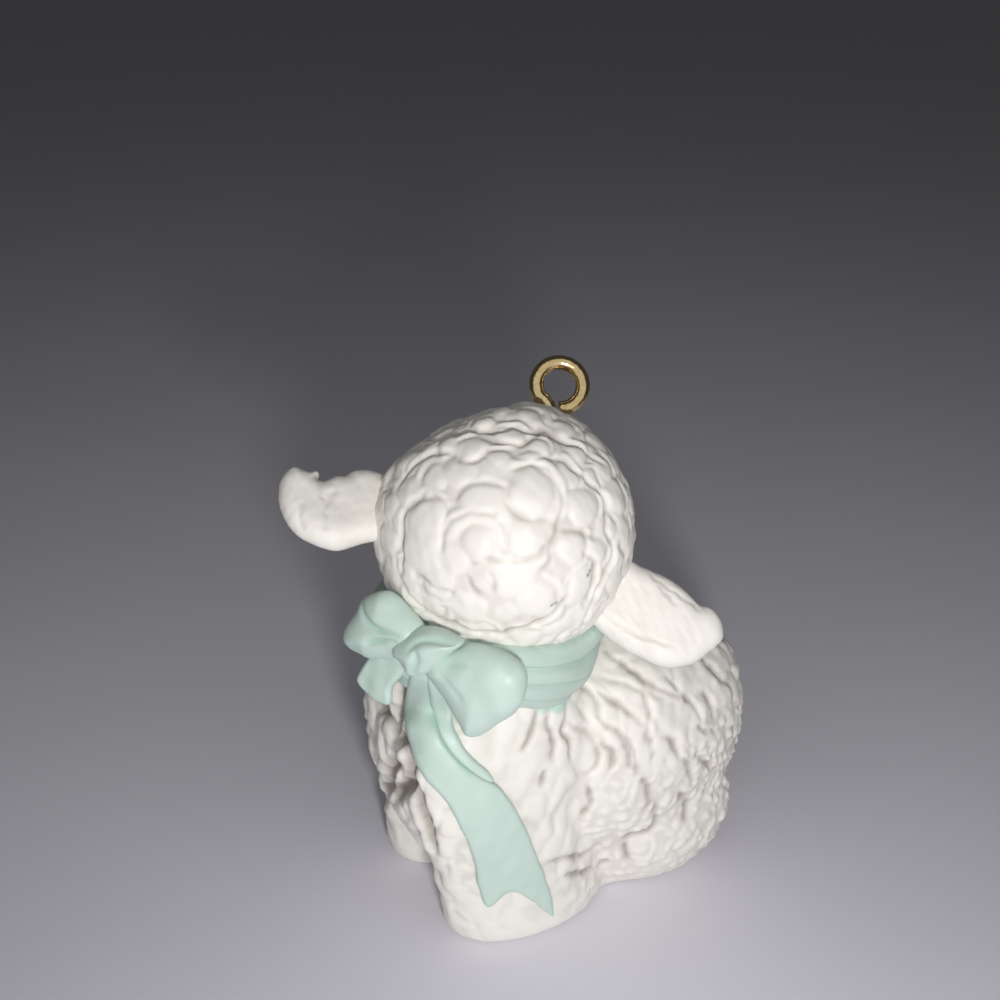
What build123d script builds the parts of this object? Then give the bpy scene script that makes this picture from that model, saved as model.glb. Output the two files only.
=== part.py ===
from build123d import *
import os

# Hanging lamb ornament in bisque porcelain, about 60 mm tall with its screw eye.
#
# The lamb lies on its folded legs and looks back over its shoulder. Body, head, ears, legs and tail
# are castings luted together, the neck ribbon and its bow are strips of clay laid on before the
# firing, and a brass screw eye is set in a plug in the crown of the head.
#
# Frame: +X is the way the chest faces, +Y is the lamb's left, +Z is up. The origin is on the flat
# base, under the middle of the head. All lengths are millimetres and all angles are degrees.

# General sizes
WALL = 2.4
OVERRUN = 4.0

# Trunk, chest and flat underside of the body casting
TRUNK_CENTRE = (-12.3, -0.6, 16.2)
TRUNK_RADII = (19.0, 14.6, 17.0)
CHEST_CENTRE = (1.8, 0.0, 19.5)
CHEST_RADII = (12.7, 12.8, 17.5)
BASE_CENTRE = (-10.5, 0.0, 0.0)
BASE_RADII = (17.5, 10.5, 8.5)
VENT_X = -12.0
VENT_R = 3.0

# Neck, leaning back towards the rump, with the passage that drains the head
HEAD_HEIGHT = 45.7
NECK_LEAN_ANGLE = 13.0
NECK_R = 9.4
NECK_LENGTH = 22.0
PASSAGE_R = 3.0

# Head: a round cranium with a short muzzle, turned over the lamb's right shoulder
HEAD_TURN_ANGLE = -18.0
HEAD_NOD_ANGLE = 35.0
HEAD_ROLL_ANGLE = -26.0
CRANIUM_RADII = (13.6, 12.8, 13.5)
MUZZLE_RISE_ANGLE = 15.0
MUZZLE_REACH = 10.2
MUZZLE_RADII = (4.9, 8.0, 4.5)

# Ears: leaf shapes with a cupped front
EAR_SIDE = 11.0
EAR_BACK = 1.2
EAR_THICKNESS = 3.2
EAR_CUP = 1.3
LEFT_EAR_LENGTH = 12.4
LEFT_EAR_WIDTH = 7.9
LEFT_EAR_DROP = 3.4
LEFT_EAR_DROOP_ANGLE = 13.0
RIGHT_EAR_LENGTH = 14.6
RIGHT_EAR_WIDTH = 8.5
RIGHT_EAR_DROP = 2.8
RIGHT_EAR_DROOP_ANGLE = 3.0

# Forelegs: folded under the chest, with the shoulders above them
FOOT_AHEAD = 1.2
FOOT_APART = 8.0
FOOT_RADII = (9.9, 5.7)
FORELEG_HEIGHT = 29.0
FAR_FOOT_AHEAD = 1.4
FAR_FOOT_INWARD = 2.2
FAR_SHOULDER_BACK = 1.4

# Haunches and tail
HAUNCH_BEHIND = 15.8
HAUNCH_APART = 8.0
HAUNCH_HEIGHT = 7.0
HAUNCH_RADII = (10.4, 5.8, 8.6)
TAIL_CENTRE = (-30.0, -0.6, 9.0)
TAIL_RADII = (3.0, 2.8, 5.0)

# Ribbon collar: a pleated band round the neck, measured down the neck from the middle of the head
COLLAR_R = 11.7
COLLAR_TOP = 9.8
COLLAR_BOTTOM = 15.4
COLLAR_FLARE = 0.5
PLEATS = 3
PLEAT_DEPTH = 0.6

# Bow: knot and loops on the collar
BOW_TURN_ANGLE = 33.0
BOW_R = 12.6
BOW_DROP = 11.0
KNOT_RADII = (3.0, 2.8, 2.2)
KNOT_RISE = 1.0
LOOP_THICKNESS = 4.6
REAR_LOOP_LENGTH = 11.3
REAR_LOOP_WIDTH = 10.5
REAR_LOOP_DROOP_ANGLE = 10.0
REAR_LOOP_SWEEP_ANGLE = 8.0
FRONT_LOOP_LENGTH = 8.8
FRONT_LOOP_LIFT_ANGLE = 12.0
FRONT_LOBE_WIDTH = 5.4
FRONT_LOBE_SPREAD_ANGLE = 16.0
GROOVE_APART = 1.0
GROOVE_WIDTH = 0.9
GROOVE_DEPTH = 0.7

# Ribbon tails: two fall on the near side, laid out on a plane turned towards it, and one hangs short
DRAPE_TURN_ANGLE = 26.0
DRAPE_START = 6.0
DRAPE_REACH = 20.0
LONG_TAIL_TOP = 35.0
LONG_TAIL_LENGTH = 32.0
LONG_TAIL_SIDE = -8.0
LONG_TAIL_WIDTH = 9.0
LONG_TAIL_THICKNESS = 1.1
FOLD_THICKNESS = 0.7
HANG_LENGTH = 5.0
HANG_INSET = 2.0
SHORT_TAIL_LENGTH = 8.0
SHORT_TAIL_WIDTH = 4.8
SHORT_TAIL_TURN_ANGLE = 232.0
SHORT_TAIL_THICKNESS = 1.3
SHORT_TAIL_INSET = 1.4

# Screw eye of brass wire, and the plug that holds its shank
WIRE_R = 0.785
EYE_R = 2.5
EYE_GAP = 0.115
SHANK_LENGTH = 6.5
PLUG_R = 2.2
PLUG_LENGTH = 5.2
PLUG_SUNK = 0.5

# Shares of a tapered form's size: along, across, deep and drop
EAR_SHARES = (
    (0.0, 0.80, 0.9, 0.0),
    (0.25, 0.92, 1.0, 0.0),
    (0.5, 1.0, 1.0, 0.04),
    (0.75, 0.88, 0.85, 0.04),
    (0.92, 0.6, 0.65, 0.0),
    (1.0, 0.26, 0.4, -0.04),
)
FRONT_LOOP_SHARES = (
    (0.0, 0.3, 0.45, 0.0),
    (0.3, 0.55, 0.8, 0.0),
    (0.6, 0.88, 1.0, 0.0),
    (0.82, 1.0, 0.95, 0.0),
    (0.94, 0.84, 0.75, 0.0),
    (1.0, 0.5, 0.4, 0.0),
)
REAR_LOOP_SHARES = (
    (0.0, 0.3, 0.45, 0.0),
    (0.25, 0.5, 0.8, -0.03),
    (0.45, 0.84, 1.0, -0.05),
    (0.66, 1.0, 1.0, -0.02),
    (0.84, 0.84, 0.9, -0.08),
    (0.95, 0.6, 0.7, -0.13),
    (1.0, 0.32, 0.35, -0.15),
)

# Shares of the ear's length, its length again and its width: where the cup lies, and how far it reaches
CUP_SHARES = (0.54, 0.42, 0.3)

# Shares of the foreleg: height, ahead, apart, long and wide
FORELEG_SHARES = (
    (0.0, 0.0, 0.0, 0.93, 0.92),
    (0.085, 0.01, 0.02, 1.0, 1.0),
    (0.2, 0.07, 0.03, 0.97, 1.0),
    (0.38, 0.18, 0.03, 0.95, 0.95),
    (0.58, 0.34, -0.04, 0.94, 0.96),
    (0.82, 0.46, -0.24, 0.92, 0.92),
    (1.0, 0.54, -0.45, 0.7, 0.76),
)

# Shares of the long tail, from its top: drop and side
LONG_LEFT_SHARES = (
    (0.0, -0.12), (0.165, -0.25), (0.24, -0.18), (0.31, -0.04), (0.385, 0.205), (0.475, 0.365),
    (0.58, 0.487), (0.71, 0.553), (0.872, 0.7),
)
LONG_NOTCH_SHARES = ((0.872, 0.7), (0.845, 0.825), (0.8, 0.96), (0.86, 1.22), (1.0, 1.53))
LONG_RIGHT_SHARES = ((1.0, 1.53), (0.905, 1.497), (0.75, 1.363), (0.605, 1.21), (0.45, 1.007), (0.36, 0.84))
LONG_CREASE_SHARES = (
    (0.36, 0.84), (0.33, 0.673), (0.265, 0.456), (0.21, 0.265), (0.165, 0.153), (0.03, 0.115), (0.0, 0.06),
)
FOLD_SHARES = ((0.36, 0.84), (0.295, 0.7), (0.225, 0.566), (0.19, 0.457), (0.1, 0.36))
FOLD_HIDDEN_SHARES = ((0.1, 0.36), (0.1, 0.0), (0.2, 0.06), (0.34, 0.5), (0.36, 0.84))
SHORT_ROOT_SHARE = 0.6


def turned(plane, about_x=0, about_y=0, about_z=0):
    """The same plane, turned about its own axes in that order."""
    return Plane(plane.location * Location((0, 0, 0), (about_x, about_y, about_z)))


def moved(plane, place):
    """A plane with the same directions, at a place given in the plane's own coordinates."""
    return Plane(plane.from_local_coords(place), x_dir=plane.x_dir, z_dir=plane.z_dir)


def ellipsoid(plane, radii):
    """Ellipsoid of three radii, centred on a plane's origin and turned with it."""
    with BuildPart() as form:
        Sphere(1)
        scale(by=radii)
    return plane.location * form.part


def grown(radii, by):
    """Radii of the same rounded form, larger all over by one thickness."""
    return tuple(radius + by for radius in radii)


def tapered(plane, length, width, thickness, shares):
    """Rounded form that runs along a plane's X, through ellipses given as shares of its size."""
    with BuildPart() as form:
        for along, across, deep, drop in shares:
            middle = plane.from_local_coords((along * length, -drop * width, 0))
            with BuildSketch(Plane(middle, x_dir=plane.y_dir, z_dir=plane.x_dir)):
                Ellipse(across * width / 2, deep * thickness / 2)
        loft()
    return form.part


def foreleg(side, ahead, inward, back, by=0):
    """Folded foreleg and shoulder below the collar: a loft of level ellipses, grown by one thickness."""
    with BuildPart() as form:
        for height, forward, apart, long, wide in FORELEG_SHARES:
            low = 1 - height
            x = FOOT_AHEAD + forward * FOOT_RADII[0] + low * ahead - height * back
            y = side * (FOOT_APART + apart * FOOT_RADII[1] - low * inward)
            with BuildSketch(Plane((x, y, height * FORELEG_HEIGHT))):
                Ellipse(long * FOOT_RADII[0] + by, wide * FOOT_RADII[1] + by)
        loft()
        split(bisect_by=neck_plane.offset(-COLLAR_BOTTOM), keep=Keep.BOTTOM)
    return form.part


# Planes that carry the head, the neck and the muzzle
head_plane = turned(Plane.XY.offset(HEAD_HEIGHT), about_z=HEAD_TURN_ANGLE)
head_plane = turned(turned(head_plane, about_x=HEAD_NOD_ANGLE), about_y=HEAD_ROLL_ANGLE)
neck_plane = turned(Plane.XY.offset(HEAD_HEIGHT), about_y=-NECK_LEAN_ANGLE)
muzzle_plane = moved(turned(head_plane, about_x=-MUZZLE_RISE_ANGLE), (0, -MUZZLE_REACH, 0))

# Round forms that more than one piece is made from
trunk = ellipsoid(Plane(TRUNK_CENTRE), TRUNK_RADII)
chest = ellipsoid(Plane(CHEST_CENTRE), CHEST_RADII)
belly = ellipsoid(Plane(BASE_CENTRE), BASE_RADII)
cranium = ellipsoid(head_plane, CRANIUM_RADII)
muzzle = ellipsoid(muzzle_plane, MUZZLE_RADII)
trunk_hollow = ellipsoid(Plane(TRUNK_CENTRE), grown(TRUNK_RADII, -WALL))
chest_hollow = ellipsoid(Plane(CHEST_CENTRE), grown(CHEST_RADII, -WALL))
cranium_hollow = ellipsoid(head_plane, grown(CRANIUM_RADII, -WALL))
muzzle_hollow = ellipsoid(muzzle_plane, grown(MUZZLE_RADII, -WALL))
near_leg = foreleg(1, 0, 0, 0)
far_leg = foreleg(-1, FAR_FOOT_AHEAD, FAR_FOOT_INWARD, FAR_SHOULDER_BACK)

# Torso: the outside of the body, which every laid-on piece is cut to
with BuildPart() as torso:
    add(trunk)
    add(chest)
    add(belly)
    with BuildSketch(neck_plane):
        Circle(NECK_R)
    extrude(amount=-NECK_LENGTH)
    split(bisect_by=Plane.XY)
    add(cranium, mode=Mode.SUBTRACT)

# Passage from the hollow of the head to the hollow of the body
with BuildPart() as passage:
    with BuildSketch(neck_plane):
        Circle(PASSAGE_R)
    extrude(amount=-NECK_LENGTH)

# Body casting: the torso, hollow, with a vent hole in its flat base
with BuildPart() as cavity:
    add(trunk_hollow)
    add(chest_hollow)
    add(passage.part)
    split(bisect_by=Plane.XY.offset(WALL))
with BuildPart() as body_casting:
    add(torso.part)
    add(cavity.part, mode=Mode.SUBTRACT)
    with BuildSketch(Plane.XY.offset(-OVERRUN)):
        with Locations((VENT_X, 0)):
            Circle(VENT_R)
    extrude(amount=OVERRUN + WALL + OVERRUN, mode=Mode.SUBTRACT)

# Head casting: hollow, open at the neck and at the crown
with BuildPart() as head_casting:
    add(cranium)
    add(muzzle)
    for hollow in (cranium_hollow, muzzle_hollow, passage.part):
        add(hollow, mode=Mode.SUBTRACT)
    with BuildSketch(head_plane):
        Circle(PLUG_R)
    extrude(amount=CRANIUM_RADII[2] + OVERRUN, mode=Mode.SUBTRACT)

# Plug in the crown, bored for the shank
with BuildPart() as anchor_plug:
    with BuildSketch(head_plane.offset(CRANIUM_RADII[2] - PLUG_LENGTH)):
        Circle(PLUG_R)
        Circle(WIRE_R, mode=Mode.SUBTRACT)
    extrude(amount=PLUG_LENGTH - PLUG_SUNK)

# Screw eye: a ring on a straight shank
plug_top = CRANIUM_RADII[2] - PLUG_SUNK
eye_plane = head_plane.offset(plug_top + EYE_GAP + WIRE_R + EYE_R)
with BuildPart() as screw_eye:
    with BuildSketch(eye_plane.offset(-EYE_R - SHANK_LENGTH)):
        Circle(WIRE_R)
    extrude(amount=SHANK_LENGTH)
    with BuildSketch(eye_plane):
        with Locations((EYE_R, 0)):
            Circle(WIRE_R)
    revolve(axis=Axis(eye_plane.origin, eye_plane.y_dir))


def ear(side, length, width, drop, droop):
    """Ear with a cup pressed into its front, before it is cut to the head."""
    place = head_plane.from_local_coords((side * EAR_SIDE, EAR_BACK, -drop))
    level = Plane(place, x_dir=side * head_plane.x_dir, z_dir=-side * head_plane.y_dir)
    root = turned(level, about_z=-droop)
    leaf = tapered(root, length, width, EAR_THICKNESS, EAR_SHARES)
    cup_along, cup_long, cup_wide = CUP_SHARES
    cup_plane = moved(root, (cup_along * length, 0, side * EAR_THICKNESS / 2))
    cup = ellipsoid(cup_plane, (cup_long * length, cup_wide * width, EAR_CUP))
    return leaf, cup


left_leaf, left_cup = ear(1, LEFT_EAR_LENGTH, LEFT_EAR_WIDTH, LEFT_EAR_DROP, LEFT_EAR_DROOP_ANGLE)
right_leaf, right_cup = ear(-1, RIGHT_EAR_LENGTH, RIGHT_EAR_WIDTH, RIGHT_EAR_DROP, RIGHT_EAR_DROOP_ANGLE)
with BuildPart() as left_ear:
    add(left_leaf)
    add(left_cup, mode=Mode.SUBTRACT)
    add(cranium, mode=Mode.SUBTRACT)
with BuildPart() as right_ear:
    add(right_leaf)
    add(right_cup, mode=Mode.SUBTRACT)
    add(cranium, mode=Mode.SUBTRACT)

# Ribbon collar: a pleated profile turned about the neck
profile_plane = Plane(neck_plane.origin, x_dir=neck_plane.x_dir, z_dir=-neck_plane.y_dir)
pleat_height = (COLLAR_BOTTOM - COLLAR_TOP) / PLEATS
pleat_radii = [COLLAR_R + COLLAR_FLARE * (1 - pleat) for pleat in range(PLEATS)]
with BuildPart() as ribbon_collar:
    with BuildSketch(profile_plane):
        with BuildLine():
            Line((0, -COLLAR_BOTTOM), (pleat_radii[0], -COLLAR_BOTTOM))
            for pleat, radius in enumerate(pleat_radii):
                low = -COLLAR_BOTTOM + pleat * pleat_height
                high = low + pleat_height
                ThreePointArc((radius, low), (radius + PLEAT_DEPTH, (low + high) / 2), (radius, high))
                inner = pleat_radii[pleat + 1] if pleat + 1 < PLEATS else 0
                Line((radius, high), (inner, high))
            Line((0, -COLLAR_TOP), (0, -COLLAR_BOTTOM))
        make_face()
    revolve(axis=Axis(neck_plane.origin, neck_plane.z_dir))
    add(torso.part, mode=Mode.SUBTRACT)
    add(cranium, mode=Mode.SUBTRACT)

# Forelegs, haunches and tail, each cut to what it is luted to
with BuildPart() as left_foreleg:
    add(near_leg)
    add(torso.part, mode=Mode.SUBTRACT)
with BuildPart() as right_foreleg:
    add(far_leg)
    add(torso.part, mode=Mode.SUBTRACT)
left_mound = ellipsoid(Plane((-HAUNCH_BEHIND, HAUNCH_APART, HAUNCH_HEIGHT)), HAUNCH_RADII)
right_mound = ellipsoid(Plane((-HAUNCH_BEHIND, -HAUNCH_APART, HAUNCH_HEIGHT)), HAUNCH_RADII)
with BuildPart() as left_haunch:
    add(left_mound)
    split(bisect_by=Plane.XY)
    add(torso.part, mode=Mode.SUBTRACT)
    add(near_leg, mode=Mode.SUBTRACT)
with BuildPart() as right_haunch:
    add(right_mound)
    split(bisect_by=Plane.XY)
    add(torso.part, mode=Mode.SUBTRACT)
    add(far_leg, mode=Mode.SUBTRACT)
with BuildPart() as tail:
    add(ellipsoid(Plane(TAIL_CENTRE), TAIL_RADII))
    add(torso.part, mode=Mode.SUBTRACT)

# Bow: the knot with its pressed pleats, one loop to the rear and a loop of two lobes to the front
bow_side = turned(neck_plane, about_z=BOW_TURN_ANGLE)
bow_centre = bow_side.from_local_coords((BOW_R, 0, -BOW_DROP))
bow_plane = Plane(bow_centre, x_dir=bow_side.y_dir, z_dir=bow_side.x_dir)
rear_plane = turned(turned(bow_plane, about_z=-REAR_LOOP_DROOP_ANGLE), about_y=REAR_LOOP_SWEEP_ANGLE)
front_plane = turned(turned(bow_plane, about_z=180), about_z=-FRONT_LOOP_LIFT_ANGLE)
knot_plane = moved(bow_plane, (0, KNOT_RISE, 0))
knot = ellipsoid(knot_plane, KNOT_RADII)
groove_radii = (GROOVE_WIDTH / 2, KNOT_RADII[1], GROOVE_DEPTH)
grooves = [
    ellipsoid(moved(knot_plane, (side * GROOVE_APART, 0, KNOT_RADII[2])), groove_radii) for side in (-1, 1)
]
lobe_planes = [turned(front_plane, about_z=side * FRONT_LOBE_SPREAD_ANGLE) for side in (-1, 1)]
with BuildPart() as bow_knot:
    add(knot)
    for other in (*grooves, torso.part, cranium, ribbon_collar.part):
        add(other, mode=Mode.SUBTRACT)
with BuildPart() as bow_loop_rear:
    add(tapered(rear_plane, REAR_LOOP_LENGTH, REAR_LOOP_WIDTH, LOOP_THICKNESS, REAR_LOOP_SHARES))
    for other in (torso.part, cranium, ribbon_collar.part, knot):
        add(other, mode=Mode.SUBTRACT)
with BuildPart() as bow_loop_front:
    for plane in lobe_planes:
        add(tapered(plane, FRONT_LOOP_LENGTH, FRONT_LOBE_WIDTH, LOOP_THICKNESS, FRONT_LOOP_SHARES))
    for other in (torso.part, cranium, ribbon_collar.part, knot):
        add(other, mode=Mode.SUBTRACT)


def draped(thickness):
    """The lamb's near side grown by a ribbon's thickness, with a slope down from the collar."""
    outer = COLLAR_R + COLLAR_FLARE + PLEAT_DEPTH + thickness
    foot = -COLLAR_BOTTOM - HANG_LENGTH
    with BuildPart() as form:
        add(ellipsoid(Plane(TRUNK_CENTRE), grown(TRUNK_RADII, thickness)))
        add(ellipsoid(Plane(CHEST_CENTRE), grown(CHEST_RADII, thickness)))
        add(foreleg(1, 0, 0, 0, thickness))
        with BuildSketch(profile_plane):
            with BuildLine():
                Polyline(
                    (0, 0), (outer, 0), (outer, -COLLAR_BOTTOM), (outer - HANG_INSET, foot), (0, foot),
                    close=True,
                )
            make_face()
        revolve(axis=Axis(neck_plane.origin, neck_plane.z_dir))
    return form.part


def laid_out(shares):
    """Points on the drape plane for shares of the long tail's length and width."""
    return [
        (LONG_TAIL_SIDE + side * LONG_TAIL_WIDTH, LONG_TAIL_TOP - drop * LONG_TAIL_LENGTH)
        for drop, side in shares
    ]


# Long tail, swallow-tailed, with a second layer of ribbon folded beside it
near_plane = Plane((0, 0, 0), x_dir=(-1, 0, 0), z_dir=(0, 1, 0))
drape_plane = turned(near_plane, about_y=-DRAPE_TURN_ANGLE).offset(DRAPE_START)
covered = (
    torso.part, near_leg, cranium, ribbon_collar.part, knot, bow_loop_rear.part, bow_loop_front.part,
)
with BuildPart() as ribbon_tail_long:
    add(draped(LONG_TAIL_THICKNESS))
    with BuildSketch(drape_plane):
        with BuildLine():
            for edge in (LONG_LEFT_SHARES, LONG_NOTCH_SHARES, LONG_RIGHT_SHARES, LONG_CREASE_SHARES):
                Spline(*laid_out(edge))
            Line(*laid_out((LONG_CREASE_SHARES[-1], LONG_LEFT_SHARES[0])))
        make_face()
    extrude(amount=DRAPE_REACH, mode=Mode.INTERSECT)
    for other in covered:
        add(other, mode=Mode.SUBTRACT)
with BuildPart() as ribbon_tail_fold:
    add(draped(FOLD_THICKNESS))
    with BuildSketch(drape_plane):
        with BuildLine():
            Spline(*laid_out(FOLD_SHARES))
            Polyline(*laid_out(FOLD_HIDDEN_SHARES))
        make_face()
    extrude(amount=DRAPE_REACH, mode=Mode.INTERSECT)
    for other in (*covered, ribbon_tail_long.part):
        add(other, mode=Mode.SUBTRACT)

# Short tail, on the chest below the front loop
short_plane = turned(bow_plane.offset(-SHORT_TAIL_INSET), about_z=SHORT_TAIL_TURN_ANGLE)
with BuildPart() as ribbon_tail_short:
    with BuildSketch(short_plane):
        with BuildLine():
            Polyline(
                (0, SHORT_ROOT_SHARE * SHORT_TAIL_WIDTH / 2), (SHORT_TAIL_LENGTH, SHORT_TAIL_WIDTH / 2),
                (SHORT_TAIL_LENGTH, -SHORT_TAIL_WIDTH / 2), (0, -SHORT_ROOT_SHARE * SHORT_TAIL_WIDTH / 2),
                close=True,
            )
        make_face()
    extrude(amount=SHORT_TAIL_THICKNESS)
    for other in (*covered, ribbon_tail_long.part):
        add(other, mode=Mode.SUBTRACT)

pieces = {
    "body_casting": body_casting,
    "head_casting": head_casting,
    "left_ear": left_ear,
    "right_ear": right_ear,
    "left_foreleg": left_foreleg,
    "right_foreleg": right_foreleg,
    "left_haunch": left_haunch,
    "right_haunch": right_haunch,
    "tail": tail,
    "ribbon_collar": ribbon_collar,
    "bow_knot": bow_knot,
    "bow_loop_rear": bow_loop_rear,
    "bow_loop_front": bow_loop_front,
    "ribbon_tail_long": ribbon_tail_long,
    "ribbon_tail_fold": ribbon_tail_fold,
    "ribbon_tail_short": ribbon_tail_short,
    "anchor_plug": anchor_plug,
    "screw_eye": screw_eye,
}
os.makedirs("parts", exist_ok=True)
for name, piece in pieces.items():
    piece.part.label = name
    export_step(piece.part, "parts/" + name + ".step")
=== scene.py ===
"""Looks of a bisque porcelain lamb with a clay ribbon bow and a brass screw eye in its crown.

Every form is modelled in millimetres in the part's own frame and is scaled to metres when it is
finished. The lamb's chest faces +X, its left side is +Y and +Z is up. Angles are degrees.
"""
from __future__ import annotations

import logging
import math
from dataclasses import dataclass
from enum import Enum
from typing import Any, Callable, Iterable, Sequence

import bpy
import numpy as np
from mathutils import Matrix, Vector

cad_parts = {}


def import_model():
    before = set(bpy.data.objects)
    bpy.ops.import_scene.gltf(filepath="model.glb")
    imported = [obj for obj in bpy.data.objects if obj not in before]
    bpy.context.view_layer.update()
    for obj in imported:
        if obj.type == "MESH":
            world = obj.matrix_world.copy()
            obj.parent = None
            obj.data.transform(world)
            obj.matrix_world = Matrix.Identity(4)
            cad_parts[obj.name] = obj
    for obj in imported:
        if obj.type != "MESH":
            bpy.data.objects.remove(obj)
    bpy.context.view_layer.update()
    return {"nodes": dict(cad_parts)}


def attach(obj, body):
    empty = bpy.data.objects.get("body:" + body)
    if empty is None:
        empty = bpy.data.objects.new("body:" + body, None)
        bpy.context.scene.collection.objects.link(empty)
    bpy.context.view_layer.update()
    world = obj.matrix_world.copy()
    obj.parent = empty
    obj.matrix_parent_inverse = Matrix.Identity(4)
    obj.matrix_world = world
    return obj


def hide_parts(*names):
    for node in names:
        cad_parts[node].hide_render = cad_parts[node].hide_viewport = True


LOG = logging.getLogger("lamb")
MM = 0.001
TAU = 2 * math.pi
CERAMIC_IOR = 1.5
ROUND_STEPS = 96

Pixel = tuple[float, float]
Line = tuple[Pixel, ...]


class Slot(Enum):
    """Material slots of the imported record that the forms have."""

    BISQUE = "bisque"
    RIBBON = "ribbon"
    BRASS = "brass"


def linear(colour: str) -> tuple[float, float, float, float]:
    """Linear colour of an sRGB hex value.

    Args:
        colour: Six hex digits after a hash mark.

    Returns:
        Red, green, blue and an alpha of one.
    """
    shares = [int(colour[place:place + 2], 16) / 255 for place in (1, 3, 5)]
    turned = [share / 12.92 if share <= 0.04045 else ((share + 0.055) / 1.055) ** 2.4 for share in shares]
    return (*turned, 1.0)


def turn(axis: str, angle: float) -> Matrix:
    """Rotation by an angle in degrees about one named axis."""
    return Matrix.Rotation(math.radians(angle), 3, axis)


def ease(values: np.ndarray, low: float, high: float) -> np.ndarray:
    """Smooth step of values, from nought at low to one at high."""
    share = np.clip((values - low) / (high - low), 0, 1)
    return share * share * (3 - 2 * share)


def arch(values: np.ndarray) -> np.ndarray:
    """Half-round profile: one in the middle and nought from one outwards."""
    return np.sqrt(np.clip(1 - values * values, 0, 1))


def cushion(values: np.ndarray) -> np.ndarray:
    """Flat-topped profile: near one in the middle, and steep down to nought at one."""
    return np.sqrt(np.clip(1 - np.abs(values) ** 3, 0, 1))


def bell(values: np.ndarray) -> np.ndarray:
    """Soft bell profile: one in the middle, fading to nought on both sides."""
    return np.exp(-values * values)


def ripple(points: np.ndarray, size: float, seed: int) -> np.ndarray:
    """Smooth unevenness of about one each way.

    Args:
        points: Rows of points.
        size: Size of its bumps, in millimetres.
        seed: Seed of its shape.

    Returns:
        A value for each point.
    """
    rng = np.random.default_rng(seed)
    total = np.zeros(len(points))
    for _ in range(9):
        way = rng.normal(size=3)
        way = way / np.linalg.norm(way) * TAU / (size * rng.uniform(0.7, 1.5))
        total += np.sin(points @ way + rng.uniform(0, TAU))
    return total / 3


def swayed(points: np.ndarray, amount: float, size: float, seed: int) -> np.ndarray:
    """Points moved about unevenly, so that regular forms come out as by hand.

    Args:
        points: Rows of points.
        amount: About how far they are moved.
        size: Size of the unevenness.
        seed: Seed of its shape.

    Returns:
        The moved points.
    """
    return points + amount * np.stack([ripple(points, size, seed + axis) for axis in range(3)], axis=1)


def nearest(points: np.ndarray, line: np.ndarray) -> tuple[np.ndarray, np.ndarray]:
    """How far points are from a line of straight runs.

    Args:
        points: Rows of points.
        line: Rows of the line's corners.

    Returns:
        Each point's distance from the line, and the share of the line's runs where it is nearest.
    """
    gap = np.full(len(points), 1e9)
    along = np.zeros(len(points))
    count = len(line) - 1
    for number, (start, end) in enumerate(zip(line[:-1], line[1:])):
        step = end - start
        share = np.clip((points - start) @ step / max(step @ step, 1e-9), 0, 1)
        away = np.linalg.norm(points - start - share[:, None] * step, axis=1)
        closer = away < gap
        gap = np.where(closer, away, gap)
        along = np.where(closer, (number + share) / count, along)
    return gap, along


@dataclass(frozen=True)
class Axes:
    """A place with its own directions, which a form is set out on.

    Attributes:
        origin: The place, in millimetres.
        turned: Rotation whose columns are the directions.
    """

    origin: Vector
    turned: Matrix

    def at(self, x: float, y: float, z: float) -> Vector:
        """Point of the part's frame for a point of these axes."""
        return self.origin + self.turned @ Vector((x, y, z))

    def local(self, points: np.ndarray) -> np.ndarray:
        """Rows of points of the part's frame, given in these axes."""
        return (points - np.array(self.origin)) @ np.array(self.turned)

    def world(self, points: np.ndarray) -> np.ndarray:
        """Rows of points of these axes, given in the part's frame."""
        return points @ np.array(self.turned).T + np.array(self.origin)

    def way(self, column: int) -> np.ndarray:
        """One of the three directions."""
        return np.array(self.turned)[:, column]


HEAD = Axes(Vector((0, 0, 45.7)), turn("Z", -18) @ turn("X", 35) @ turn("Y", -26))
NECK = Axes(Vector((0, 0, 45.7)), turn("Y", -13))


def collar_foot(angle: np.ndarray) -> np.ndarray:
    """How far the ribbon's lower edge rises, by the angle round the neck in degrees."""
    return 1.0 * bell((angle - 84) / 16) - 1.5 * bell((angle - 140) / 20)


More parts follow.
